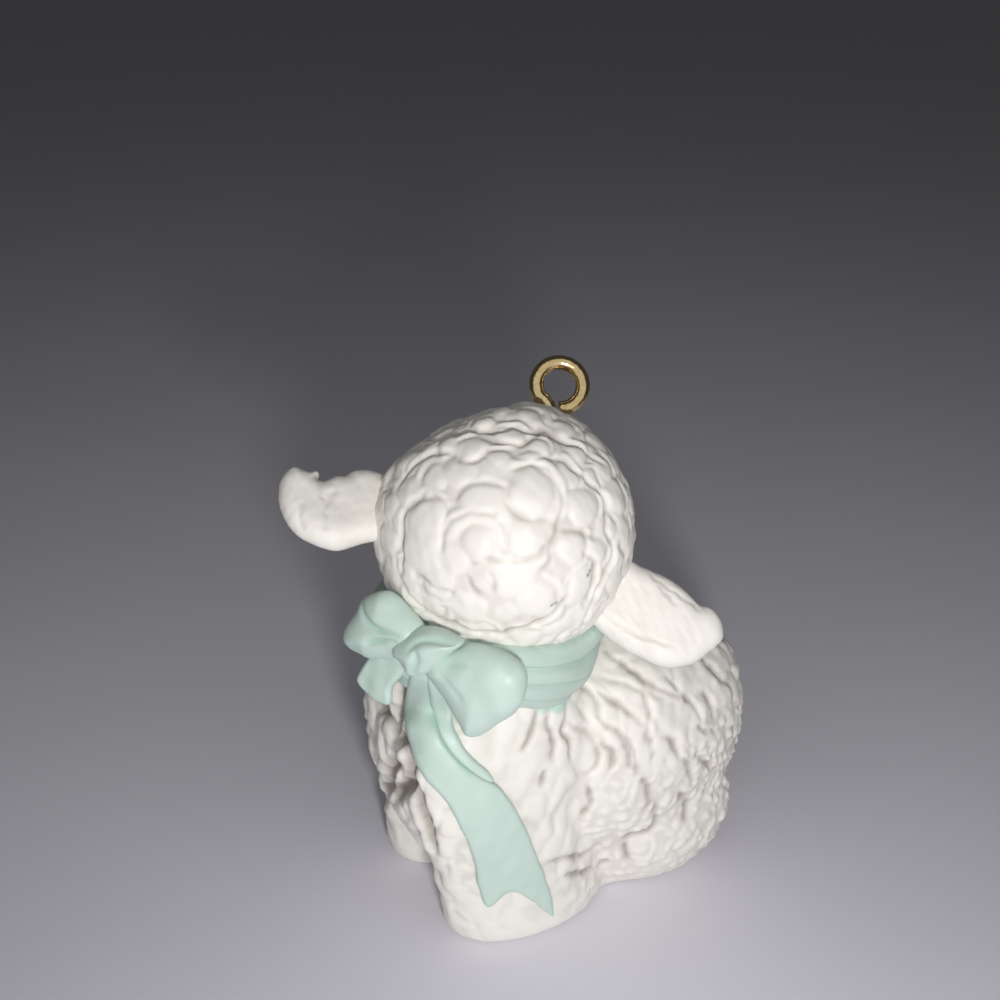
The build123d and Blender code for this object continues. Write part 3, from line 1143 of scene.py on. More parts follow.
@dataclass
class Head:
    """The head casting: a round cranium in curls, and a smooth face with a short muzzle.

    Attributes:
        view: The photograph's camera.
        radii: Radii of the cranium.
        muzzle_reach: How far the muzzle's middle lies ahead.
        muzzle_rise: How far the muzzle tips up.
        muzzle_radii: Radii of the muzzle.
        voxel: Size of the mesh's faces.
        curl_height: How far the largest curls stand out.
        sunk: How far the skin between them lies below the casting's outline.
        hollow: Radius of the wiped hollow round the plug.
        hollow_depth: Its depth.
        soft: Share by which the wool is shallower at the back of the head, where it was handled.
        flattened: How far the top of the head is pressed in on its left.
        bed: How far the wool between the curls is filled where it was handled, as a share of their height.
        fullness: How much wider the curls are than their marks, so that they press on each other.
        eye_apart: How far each eye is to the side.
        eye_up: How far the eyes are above the head's middle.
        groove_half: Half the width of the grooves between the curls.
        groove_depth: Their depth.
        crease_half: Half the width of the creases of mouth and nostrils.
        crease_depth: Their depth.
        fillers: Curls between the marked ones, larger ones first: the gap between them, their least and
            greatest radius, their height, and how squarely to the lens the wool may face that has them.
        eye_radii: Radii of each painted eye.
        eye_sunk: How far its middle lies below the skin.
        lid: Radius of the rim round each eye, half its width, and its height.
        socket: Radius and depth of the hollow in it.
        nose_up: How far the nose is above the head's middle.
        nose_radii: Radii of its paint.
        nose_flare: How much wider the paint grows for each millimetre up.
        specks: Pixels where the photograph shows a kiln speck.
        speck_size: Radius of a speck.
        seed: Seed of the order of the curls that the photograph doesn't show.
    """

    view: PhotoView
    radii: tuple[float, float, float] = (13.6, 12.8, 13.5)
    muzzle_reach: float = 10.2
    muzzle_rise: float = 15.0
    muzzle_radii: tuple[float, float, float] = (4.9, 8.0, 4.5)
    voxel: float = 0.2
    curl_height: float = 0.95
    sunk: float = 0.6
    hollow: float = 2.3
    hollow_depth: float = 1.0
    soft: float = 0.6
    flattened: float = 1.4
    bed: float = 0.3
    fullness: float = 1.25
    eye_apart: float = 5.6
    eye_up: float = 5.0
    groove_half: float = 0.26
    groove_depth: float = 0.85
    crease_half: float = 0.22
    crease_depth: float = 0.4
    fillers: tuple[tuple[float, ...], ...] = ((2.7, 1.9, 2.5, 0.85, 2.0), (1.35, 0.9, 1.4, 0.62, 0.55))
    eye_radii: tuple[float, float, float] = (0.95, 1.15, 0.6)
    eye_sunk: float = 0.15
    lid: tuple[float, float, float] = (1.35, 0.4, 0.28)
    socket: tuple[float, float] = (0.8, 0.35)
    nose_up: float = 5.4
    nose_radii: tuple[float, float, float] = (1.75, 0.75, 1.05)
    nose_flare: float = 0.28
    specks: Line = ((588, 575), (590, 571), (552, 605), (556, 603))
    speck_size: float = 0.16
    seed: int = 11

    def seen(self) -> dict[str, Mark]:
        """Curls that the photograph shows, from the crown down to the nape."""
        return {
            "crown_ball": Mark(532, 491, 3.2, 0.68, 170, -0.66, 1.0),
            "left_ball": Mark(478, 543, 3.0, 0.52, 200, -0.62, 0.85),
            "right_ball": Mark(528, 540, 2.5, 0.72, 200, 0.46, 0.6),
            "swirl_under_eye": Mark(541, 446, 1.8, 0.55, 170, -0.65, 0.85),
            "nape_swirl": Mark(481, 584, 1.6, 0.7, 250, 0.6, 0.4),
            "brow_mound": Mark(487, 499, 2.4, 1.0, height=0.75),
            "left_mound": Mark(424, 517, 2.5, 0.8, 150, -0.4, 0.8),
            "left_low_mound": Mark(418, 550, 2.4, 1.0, height=0.75),
            "left_edge_mound": Mark(386, 540, 2.0, 0.8, 90, 0.4, 0.8),
            "left_edge_low": Mark(390, 572, 1.7, 1.0, height=0.7),
            "left_top_mound": Mark(432, 478, 2.0, 0.7, 60, 0.5, 0.8),
            "left_far_top": Mark(407, 489, 1.6, 1.0, height=0.75),
            "left_rim": Mark(390, 505, 1.8, 0.7, 100, 0.5, 0.8),
            "top_left_ridge": Mark(447, 446, 1.9, 0.7, 30, 0.5, 0.85),
            "top_ball": Mark(472, 447, 1.9, 0.75, 40, 0.5, 0.85),
            "top_mound": Mark(502, 457, 1.5, 0.8, 30, 0.4, 0.7),
            "top_low_mound": Mark(460, 470, 1.7, 1.0, height=0.7),
            "shoulder_of_ball": Mark(487, 471, 1.3, 1.0, height=0.6),
            "crest_left": Mark(483, 421, 1.9, 0.6, 20, 0.5, 0.9),
            "crest_middle": Mark(512, 434, 1.8, 0.7, 160, -0.5, 0.8),
            "crest_right": Mark(530, 416, 2.2, 0.6, 150, -0.5, 0.9),
            "crest_far": Mark(500, 408, 1.9, 0.6, 60, 0.5, 0.9),
            "by_the_eye": Mark(566, 428, 1.9, 0.6, 120, -0.5, 0.9),
            "right_top": Mark(568, 474, 1.8, 0.7, 120, -0.5, 0.75),
            "right_top_ridge": Mark(578, 452, 1.7, 0.6, 150, -0.5, 0.85),
            "right_mound": Mark(585, 506, 2.3, 0.75, 110, -0.45, 0.85),
            "right_edge_mound": Mark(617, 497, 2.3, 0.8, 100, -0.5, 1.0),
            "right_edge_top": Mark(603, 466, 2.0, 0.7, 130, -0.5, 0.9),
            "right_edge_low": Mark(624, 530, 2.0, 0.8, 80, -0.5, 0.85),
            "right_low_mound": Mark(575, 549, 2.1, 0.75, 60, -0.45, 0.8),
            "right_low_ridge": Mark(599, 553, 1.9, 0.7, 80, -0.5, 0.8),
            "right_nape": Mark(582, 586, 2.2, 0.8, 60, -0.4, 0.7),
            "middle_nape": Mark(515, 575, 2.6, 1.0, height=0.6),
            "low_middle_nape": Mark(538, 602, 2.4, 0.8, 330, 0.35, 0.6),
            "left_nape": Mark(436, 584, 2.4, 0.75, 200, 0.4, 0.7),
            "left_low_nape": Mark(432, 608, 1.9, 0.7, 240, 0.45, 0.65),
            "low_swirl": Mark(506, 616, 2.1, 0.7, 100, 0.6, 0.42),
            "low_left_nape": Mark(466, 612, 2.3, 0.8, 200, 0.4, 0.6),
            "inner_left": Mark(452, 561, 1.5, 1.0, height=0.55),
        }

    def grooves(self) -> dict[str, Line]:
        """Lines of pixels along which the photograph shows grooves between the curls."""
        return {
            "over_brow": (
                (455, 498), (462, 486), (480, 481), (500, 482), (507, 498), (513, 513), (528, 520),
                (547, 518),
            ),
            "round_crown": (
                (514, 467), (530, 460), (548, 467), (560, 482), (565, 502), (560, 528), (551, 547),
                (551, 562), (540, 578),
            ),
            "round_left_ball": (
                (443, 556), (439, 538), (446, 523), (462, 514), (480, 510), (496, 515), (507, 530),
                (507, 548),
            ),
            "under_right_ball": ((501, 553), (518, 560), (538, 558), (549, 545)),
            "under_left_ball": ((470, 566), (478, 560), (500, 560), (522, 563)),
            "left_wall": ((401, 575), (400, 530), (402, 512), (413, 500), (430, 497), (447, 499)),
            "crest_wave": (
                (430, 440), (460, 428), (480, 427), (500, 431), (513, 424), (525, 428), (535, 432),
                (547, 424), (560, 439), (580, 445), (602, 464),
            ),
            "second_wave": (
                (398, 485), (412, 465), (430, 451), (455, 452), (463, 462), (477, 459), (490, 448),
                (503, 446), (516, 457), (532, 461),
            ),
            "third_wave": (
                (532, 461), (545, 453), (560, 459), (577, 468), (590, 482), (604, 491), (609, 512),
                (606, 530),
            ),
            "right_wall": ((606, 530), (616, 548), (611, 568), (600, 586), (592, 606), (582, 628)),
            "right_step": ((562, 531), (580, 531), (598, 537)),
            "right_low": ((584, 553), (597, 562), (597, 580), (588, 602)),
            "nape_rim": (
                (403, 588), (420, 609), (440, 622), (470, 632), (500, 637), (525, 630), (550, 620),
                (568, 600), (572, 580),
            ),
            "swirl_left": ((466, 578), (470, 591), (479, 596)),
            "swirl_right": ((488, 574), (494, 582), (493, 594)),
            "nape_step": ((412, 575), (430, 587), (452, 595)),
            "top_of_swirl": (
                (482, 436), (497, 440), (511, 440), (522, 444), (531, 436), (545, 430), (556, 441),
                (552, 455),
            ),
        }

    def block(self) -> Form:
        """Cranium and muzzle as one smooth skin."""
        cranium = Form.ellipsoid(HEAD, self.radii)
        nose = Axes(HEAD.origin, HEAD.turned @ turn("X", -self.muzzle_rise))
        muzzle = Form.ellipsoid(
            Axes(HEAD.at(0, 0, 0) + nose.turned @ Vector((0, -self.muzzle_reach, 0)), nose.turned),
            self.muzzle_radii,
        )
        head = cranium.join(muzzle)
        head.remesh(3 * self.voxel)
        head.relax(10)
        head.remesh(self.voxel)
        head.relax(6)
        return head

    def wool_share(self, local: np.ndarray) -> np.ndarray:
        """How much of the wool's height each point of the head wears."""
        edge = -4.5 - 0.22 * local[:, 2]
        wave = 0.8 * np.sin(local[:, 0] * 1.1) + 0.6 * np.sin(local[:, 2] * 1.3)
        return ease(local[:, 1] - edge + wave, -1.6, 0.6)

    def wool(self, head: Form) -> tuple[list[Curl], list[Curl]]:
        """Curls of the whole head.

        Args:
            head: The smooth skin that they sit on.

        Returns:
            Those of the photograph, and the others between and behind them.
        """
        rng = np.random.default_rng(self.seed)
        lead = self.view.axes().way(0)
        seen = []
        for mark in self.seen().values():
            for middle in self.view.marks(head, [(mark.across, mark.down)]):
                seen.append(self.curl(middle, lead, mark))
        points = head.points()
        share = self.wool_share(HEAD.local(points))
        others: list[Curl] = []
        facing = self.facing(head)
        for spacing, least, most, height, reach in self.fillers:
            gap = np.where((share > 0.3) & (facing < reach), spacing, 0)
            taken = [curl.middle for curl in (*seen, *others)]
            for number in spread(rng, points, gap, taken):
                mark = Mark(
                    0,
                    0,
                    rng.uniform(least, most),
                    rng.uniform(0.55, 0.8),
                    rng.uniform(0, 360),
                    rng.uniform(0.4, 0.7) * rng.choice((-1, 1)),
                    height,
                )
                others.append(self.curl(points[number], lead, mark))
        return seen, others

    def facing(self, head: Form) -> np.ndarray:
        """How squarely each point of the head faces the photograph's camera, up to one."""
        return head.normals() @ self.view.axes().way(2)

    def curl(self, middle: np.ndarray, lead: np.ndarray, mark: Mark) -> Curl:
        """One curl on the head's surface.

        Args:
            middle: Its middle.
            lead: Direction that its turn is counted from.
            mark: Its size, turn and arm.

        Returns:
            The curl.
        """
        local = HEAD.local(middle[None])[0] / np.array(self.radii) ** 2
        normal = np.array(HEAD.turned) @ local
        normal = normal / np.linalg.norm(normal)
        along, across = tangents(normal, lead, mark.turn)
        hand = math.copysign(1, mark.arm)
        return Curl(
            middle,
            along,
            hand * across,
            self.fullness * mark.radius,
            self.curl_height * mark.height,
            mark.ball,
            abs(mark.arm),
        )

    def surface(self, head: Form, places: Sequence[tuple[float, float]]) -> np.ndarray:
        """Places on the face, seen from the front, by how far they are to the side and up."""
        found = [
            head.struck(HEAD.at(side, -30, up), [HEAD.turned @ Vector((0, 1, 0))]) for side, up in places
        ]
        return np.vstack(found)

    def creases(self) -> dict[str, Line]:
        """Lines of mouth and nostrils, seen from the front, by how far they are to the side and up."""
        return {
            "lip": ((0, 4.2), (0, 3.4), (0, 2.6)),
            "mouth_left": ((0, 2.6), (0.9, 1.9), (2.0, 2.0), (2.9, 2.7)),
            "mouth_right": ((0, 2.6), (-0.9, 1.9), (-2.0, 2.0), (-2.9, 2.7)),
            "nostril_left": ((0.7, 5.2), (1.1, 5.6), (1.5, 5.5)),
            "nostril_right": ((-0.7, 5.2), (-1.1, 5.6), (-1.5, 5.5)),
        }

    def features(self, head: Form) -> tuple[np.ndarray, list[Furrow]]:
        """Lids round the eyes, and the grooves of mouth and nostrils.

        Args:
            head: The smooth skin that they are on.

        Returns:
            A height for each point, and the grooves.
        """
        points = head.points()
        heights = np.zeros(len(points))
        for side in (-1, 1):
            middle = self.surface(head, [(side * self.eye_apart, self.eye_up)])[0]
            away = np.linalg.norm(points - middle, axis=1)
            reach, half, height = self.lid
            hollow, depth = self.socket
            heights += height * bell((away - reach) / half) - depth * bell(away / hollow)
        furrows = [
            Furrow(self.surface(head, rounded(line)), self.crease_half, self.crease_depth)
            for line in self.creases().values()
        ]
        return heights, furrows

    def crown(self, local: np.ndarray) -> np.ndarray:
        """How far each point lies in the wiped hollow round the plug, from nought to one."""
        away = np.hypot(local[:, 0], local[:, 1])
        return ease(-away, -self.hollow - 1.0, -self.hollow) * (local[:, 2] > 8)

    def build(self, bisque: bpy.types.Material) -> bpy.types.Object:
        """Models the head and dresses it.

        Args:
            bisque: The porcelain finish.

        Returns:
            The head.
        """
        head = self.block()
        points = head.points()
        local = HEAD.local(points)
        hollow = self.crown(local)
        share = self.wool_share(local) * (1 - hollow)
        seen, others = self.wool(head)
        furrows = self.view.furrows(head, self.grooves().values(), self.groove_half, self.groove_depth)
        facing = self.facing(head)
        softer = 1 - self.soft * ease(facing, 0.45, 0.95)
        heights = clothed(swayed(points, 0.22, 3.2, 3), seen)
        heights = np.maximum(heights, softer * clothed(swayed(points, 0.3, 2.6, 7), others))
        heights = np.maximum(heights, self.bed * self.curl_height * ease(facing, 0.3, 0.8))
        heights += furrowed(swayed(points, 0.12, 2.0, 17), furrows) * softer
        heights += 0.03 * ripple(points, 1.1, 23)
        # Painted shade: the lower the wool lies below its filled bed, the more grey the material mixes in
        # there.
        groove = np.clip((self.bed * self.curl_height + 0.14 - heights) / 0.6, 0, 1) * share
        heights = head.blur(heights, 2) * share * (0.6 + 0.4 * softer)
        top = head.normals() @ (self.view.axes().way(1) * 0.9 - self.view.axes().way(0) * 0.43)
        flattened = self.flattened * ease(top, 0.72, 1.0)
        lids, creases = self.features(head)
        bare = lids + furrowed(points, creases)
        pressed = self.hollow_depth * hollow + flattened
        head.lift(heights - self.sunk * share + bare * (1 - share) - pressed)
        head.relax(1, 0.3)
        head.mark("groove", head.blur(groove, 1))
        head.mark("tint", np.zeros(len(groove)))
        specks = np.zeros(len(groove))
        for place in self.view.marks(head, list(self.specks)):
            away = np.linalg.norm(head.points() - place, axis=1)
            specks = np.maximum(specks, bell(away / self.speck_size))
        head.mark("speck", specks)
        return head.finish("head", bisque, Slot.BISQUE, "head_casting")

    def paint(self, eyes: bpy.types.Material, nose: bpy.types.Material) -> None:
        """Adds the painted eyes and the painted tip of the nose.

        Args:
            eyes: Finish of the eyes.
            nose: Finish of the nose.
        """
        skin = self.block()
        for name, side in (("left_eye", 1), ("right_eye", -1)):
            middle = self.surface(skin, [(side * self.eye_apart, self.eye_up)])[0]
            facing = HEAD.local(middle[None])[0] / np.array(self.radii) ** 2
            normal = Vector(np.array(HEAD.turned) @ facing).normalized()
            place = Vector(middle) - self.eye_sunk * normal
            eye = Form.ellipsoid(Axes(place, normal.to_track_quat("Z", "Y").to_matrix()), self.eye_radii)
            eye.remesh(0.08)
            eye.relax(4)
            eye.finish(name, eyes, Slot.BISQUE)
        tip = self.surface(skin, [(0, self.nose_up)])[0]
        place = Vector(tip) + HEAD.turned @ Vector((0, 0.25, 0))
        patch = Form.ellipsoid(Axes(place, HEAD.turned), self.nose_radii)
        points = HEAD.local(patch.points()) - HEAD.local(tip[None])[0]
        points[:, 0] *= 1 + self.nose_flare * points[:, 2]
        patch.place(HEAD.world(points + HEAD.local(tip[None])[0]))
        patch.remesh(0.08)
        patch.relax(3)
        patch.finish("nose", nose, Slot.BISQUE)
        bpy.data.objects.remove(skin.thing)


@dataclass
class Body:
    """The body casting with its legs, haunches and tail, all in wavy locks of wool.

    Attributes:
        view: The photograph's camera.
        nodes: The frame's nodes.
        trunk: Middle and radii of the trunk.
        chest: Middle and radii of the chest.
        belly: Middle and radii of the flat underside.
        neck_radius: Radius of the neck.
        neck_length: Length of the neck below the head's middle.
        voxel: Size of the mesh's faces.
        lock_height: How far the locks stand out.
        sunk: How far the skin between them lies below the casting's outline.
        soft: Share by which the wool is shallower on the side where it was handled.
        bed: How far the wool between the locks is filled, as a share of their height.
        vent: Place, radius and depth of the vent hole.
        combed: Locks, larger ones first: the gap between them, half their length, half their width, their
            height, and from which share of fine wool on they are worn.
        sway: Degrees by which the locks swing from side to side in waves.
        loose: Degrees by which each strays from its wave.
        groove_half: Half the width of the grooves between the locks.
        groove_depth: Their depth.
        crevice_half: Half the width of the crevices beside the far foreleg.
        crevice_depth: Their depth.
        rubbed: How much lower the wool is where it was rubbed smooth.
        run_edge: Where the ribbon's colour ends on the wool, along the neck.
        run_reach: How far from the neck's axis it reaches.
        run_from: Degrees round the neck from which on it shows.
        run_to: Degrees up to which it shows.
        seed: Seed of the order of the locks.
    """

    view: PhotoView
    nodes: dict[str, bpy.types.Object]
    trunk: tuple[tuple[float, ...], tuple[float, ...]] = ((-12.3, -0.6, 16.2), (19.0, 14.6, 17.0))
    chest: tuple[tuple[float, ...], tuple[float, ...]] = ((1.8, 0.0, 19.5), (12.7, 12.8, 17.5))
    belly: tuple[tuple[float, ...], tuple[float, ...]] = ((-10.5, 0.0, 0.0), (17.5, 10.5, 8.5))
    neck_radius: float = 9.4
    neck_length: float = 22.0
    voxel: float = 0.285
    lock_height: float = 0.95
    sunk: float = 0.55
    soft: float = 0.45
    bed: float = 0.4
    vent: tuple[float, float, float] = (-12.0, 3.0, 5.0)
    combed: tuple[tuple[float, ...], ...] = (
        (2.5, 3.3, 1.6, 1.0, 0.0), (1.4, 1.8, 1.0, 0.7, 0.0), (1.1, 1.1, 0.75, 0.8, 0.4),
    )
    sway: float = 32.0
    loose: float = 16.0
    groove_half: float = 0.3
    groove_depth: float = 0.75
    crevice_half: float = 0.75
    crevice_depth: float = 2.0
    rubbed: float = 0.7
    run_edge: float = -16.1
    run_reach: float = 13.5
    run_from: float = 45.0
    run_to: float = 125.0
    seed: int = 5

    def block(self) -> Form:
        """Trunk, chest, neck and limbs as one smooth skin."""
        upright = Matrix.Identity(3)
        block = Form.cylinder(NECK, self.neck_radius, -self.neck_length, -4)
        for middle, radii in (self.trunk, self.chest, self.belly):
            round_form = Form.ellipsoid(Axes(Vector(middle), upright), radii)
            round_form.above_ground()
            block.join(round_form)
        limbs = ("left_foreleg", "right_foreleg", "left_haunch", "right_haunch", "tail")
        block.join(Form.copied(self.nodes, *limbs))
        block.remesh(0.5)
        block.relax(16)
        place, radius, depth = self.vent
        vent = Form.cylinder(Axes(Vector((place, 0, 0)), upright), radius, -depth, depth)
        block.cut(vent)
        block.remesh(self.voxel)
        block.relax(4)
        points = block.points()
        points[:, 2] = np.where(points[:, 2] < 0.12, 0, points[:, 2])
        block.place(points)
        return block

    def grooves(self) -> dict[str, Line]:
        """Lines of pixels along which the photograph shows grooves between the locks."""
        return {
            "under_collar_first": (
                (556, 688), (555, 705), (548, 721), (550, 734), (558, 745), (553, 757),
            ),
            "under_collar_second": ((567, 703), (567, 720), (563, 731), (570, 745), (571, 757)),
            "under_collar_third": (
                (582, 684), (590, 690), (597, 702), (601, 716), (610, 728), (625, 738), (636, 755),
                (637, 776),
            ),
            "under_collar_left": ((541, 706), (534, 733), (522, 752)),
            "big_bend": ((569, 722), (585, 730), (595, 744), (600, 756), (597, 767), (586, 777)),
            "second_bend": ((603, 742), (613, 752), (615, 766), (606, 779)),
            "third_bend": ((622, 741), (630, 755), (631, 770)),
            "long_wave": (
                (600, 677), (620, 681), (640, 688), (648, 701), (652, 716), (647, 726), (649, 739),
                (657, 747), (652, 762),
            ),
            "under_ear": ((603, 650), (620, 660), (640, 675), (660, 690), (682, 697)),
            "under_ear_right": ((667, 675), (680, 690), (695, 705), (704, 721)),
            "middle_wave": ((598, 690), (610, 701), (630, 712), (646, 727)),
            "right_wave": ((660, 735), (672, 740), (680, 757), (693, 768), (692, 782)),
            "edge_first": ((700, 655), (712, 667), (722, 678)),
            "edge_second": ((705, 690), (712, 703), (716, 716)),
            "edge_third": ((698, 725), (706, 733), (716, 730)),
            "edge_fourth": ((696, 752), (706, 764), (716, 768)),
            "low_left": ((591, 788), (590, 806), (581, 819)),
            "low_middle": ((640, 780), (650, 785), (652, 800), (646, 812)),
            "low_right": ((655, 803), (658, 820), (650, 834), (632, 836), (622, 846), (629, 861)),
            "low_far_right": ((680, 795), (690, 806), (686, 822)),
            "foot_first": ((598, 846), (577, 859), (548, 862)),
            "foot_second": ((612, 858), (590, 872), (566, 876)),
            "short_left": ((546, 772), (543, 786)),
        }

    def handled(self, block: Form) -> np.ndarray:
        """How far the wool is rubbed smooth, as on the flank and the feet.

        Args:
            block: The smooth skin that it is on.

        Returns:
            A share for each point, from nought to one.
        """
        points = block.points()
        share = np.zeros(len(points))
        spots = {
            "flank": ((530, 755), 6.0),
            "near_foot": ((525, 905), 6.5),
            "far_foot": ((412, 840), 4.5),
            "beside_ribbon": ((500, 750), 4.0),
        }
        for pixel, reach in spots.values():
            for place in self.view.marks(block, [pixel]):
                share = np.maximum(share, bell(np.linalg.norm(points - place, axis=1) / reach))
        return share

    def crevices(self) -> dict[str, Line]:
        """Lines of pixels along which the photograph shows deep crevices between chest, legs and ribbon."""
        return {
            "beside_ribbon": ((405, 684), (401, 700), (399, 718), (401, 738), (407, 756), (413, 774)),
            "left_of_tuft": ((396, 756), (391, 768), (388, 784), (385, 800)),
            "over_far_foot": ((408, 762), (409, 780), (402, 790), (394, 797)),
            "right_of_far_foot": ((411, 782), (417, 798), (422, 817), (429, 838), (434, 852)),
            "under_short_end": ((371, 693), (380, 702), (388, 714), (394, 730)),
        }

    def locks(self, block: Form, share: np.ndarray) -> list[Lock]:
        """Locks over the whole body, combed away from the neck.

        Args:
            block: The smooth skin that they sit on.
            share: How much of the wool's height each of its points wears.

        Returns:
            The locks, larger ones first.
        """
        rng = np.random.default_rng(self.seed)
        points = block.points()
        normals = block.normals()
        crown = np.array(NECK.at(0, 0, 0))
        locks = []
        fine = ease(-points[:, 0], 1.0, 7.0) * ease(-points[:, 2], -25.0, -17.0)
        for spacing, length, width, height, least in self.combed:
            gap = np.where((share > 0.15) & (fine >= least), spacing, 0)
            taken = [] if least else [lock.middle for lock in locks]
            for number in spread(rng, points, gap, taken):
                point = points[number]
                wave = math.sin(point[0] * 0.55 + 1.7 * math.sin(point[2] * 0.3))
                sway = self.sway * wave + rng.normal(0, self.loose)
                thinned = 1 if least else 1 - 0.5 * fine[number]
                along, across = tangents(normals[number], point - crown, sway)
                locks.append(
                    Lock(
                        point,
                        along,
                        across,
                        length * rng.uniform(0.8, 1.25),
                        width * rng.uniform(0.8, 1.2),
                        self.lock_height * height * rng.uniform(0.8, 1.15) * thinned,
                        rng.uniform(-0.9, 0.9),
                    )
                )
        return locks

    def build(self, bisque: bpy.types.Material) -> bpy.types.Object:
        """Models the body and dresses it.

        Args:
            bisque: The porcelain finish.

        Returns:
            The body.
        """
        block = self.block()
        points = block.points()
        normals = block.normals()
        foot = ease(points[:, 2], 0.4, 6.0) * 0.6 + 0.4
        share = ease(points[:, 2], 0.15, 1.6) * ease(normals[:, 2], -0.99, -0.8) * foot
        furrows = self.view.furrows(block, self.grooves().values(), self.groove_half, self.groove_depth)
        furrows += self.view.furrows(block, self.crevices().values(), self.crevice_half, self.crevice_depth)
        heights = clothed(swayed(points, 0.4, 3.0, 41), self.locks(block, share))
        heights += 0.05 * ripple(points, 1.2, 53)
        floor = self.bed * self.lock_height
        heights = floor + np.maximum(heights - floor, 0) * (1 - self.rubbed * self.handled(block))
        heights += furrowed(swayed(points, 0.15, 2.0, 47), furrows)
        squarely = normals @ self.view.axes().way(2)
        # Painted shade: the lower the wool lies below its filled bed, the more grey the material mixes in
        # there.
        groove = np.clip((floor + 0.14 - heights) / 0.6, 0, 1) * share
        heights = block.blur(heights, 1) * share * (1 - self.soft * ease(squarely, 0.5, 0.95))
        block.lift(heights - self.sunk * share)
        block.relax(1, 0.3)
        points = block.points()
        points[:, 2] = np.maximum(points[:, 2], 0)
        block.place(points)
        block.mark("groove", block.blur(groove, 1))
        block.mark("tint", self.paint_run(points))
        block.mark("speck", np.zeros(len(points)))
        nodes = ("body_casting", "left_foreleg", "right_foreleg", "left_haunch", "right_haunch", "tail")
        return block.finish("body", bisque, Slot.BISQUE, *nodes)

    def paint_run(self, points: np.ndarray) -> np.ndarray:
        """How much of the ribbon's colour has run onto the wool just below the collar.

        Args:
            points: Rows of points.

        Returns:
            A share for each point, from nought to one.
        """
        local = NECK.local(points)
        angle = np.degrees(np.arctan2(local[:, 1], local[:, 0]))
        drips = 0.35 * np.sin(np.radians(14 * angle)) + 0.25 * np.sin(np.radians(31 * angle + 60))
        edge = self.run_edge + collar_foot(angle) - drips
        away = np.hypot(local[:, 0], local[:, 1])
        run = ease(local[:, 2], edge - 0.2, edge + 0.2)
        run *= ease(-away, -self.run_reach - 0.3, -self.run_reach + 0.3)
        run *= ease(-angle, -self.run_to - 3, -self.run_to + 3)
        return run * ease(angle, self.run_from - 5, self.run_from + 5)


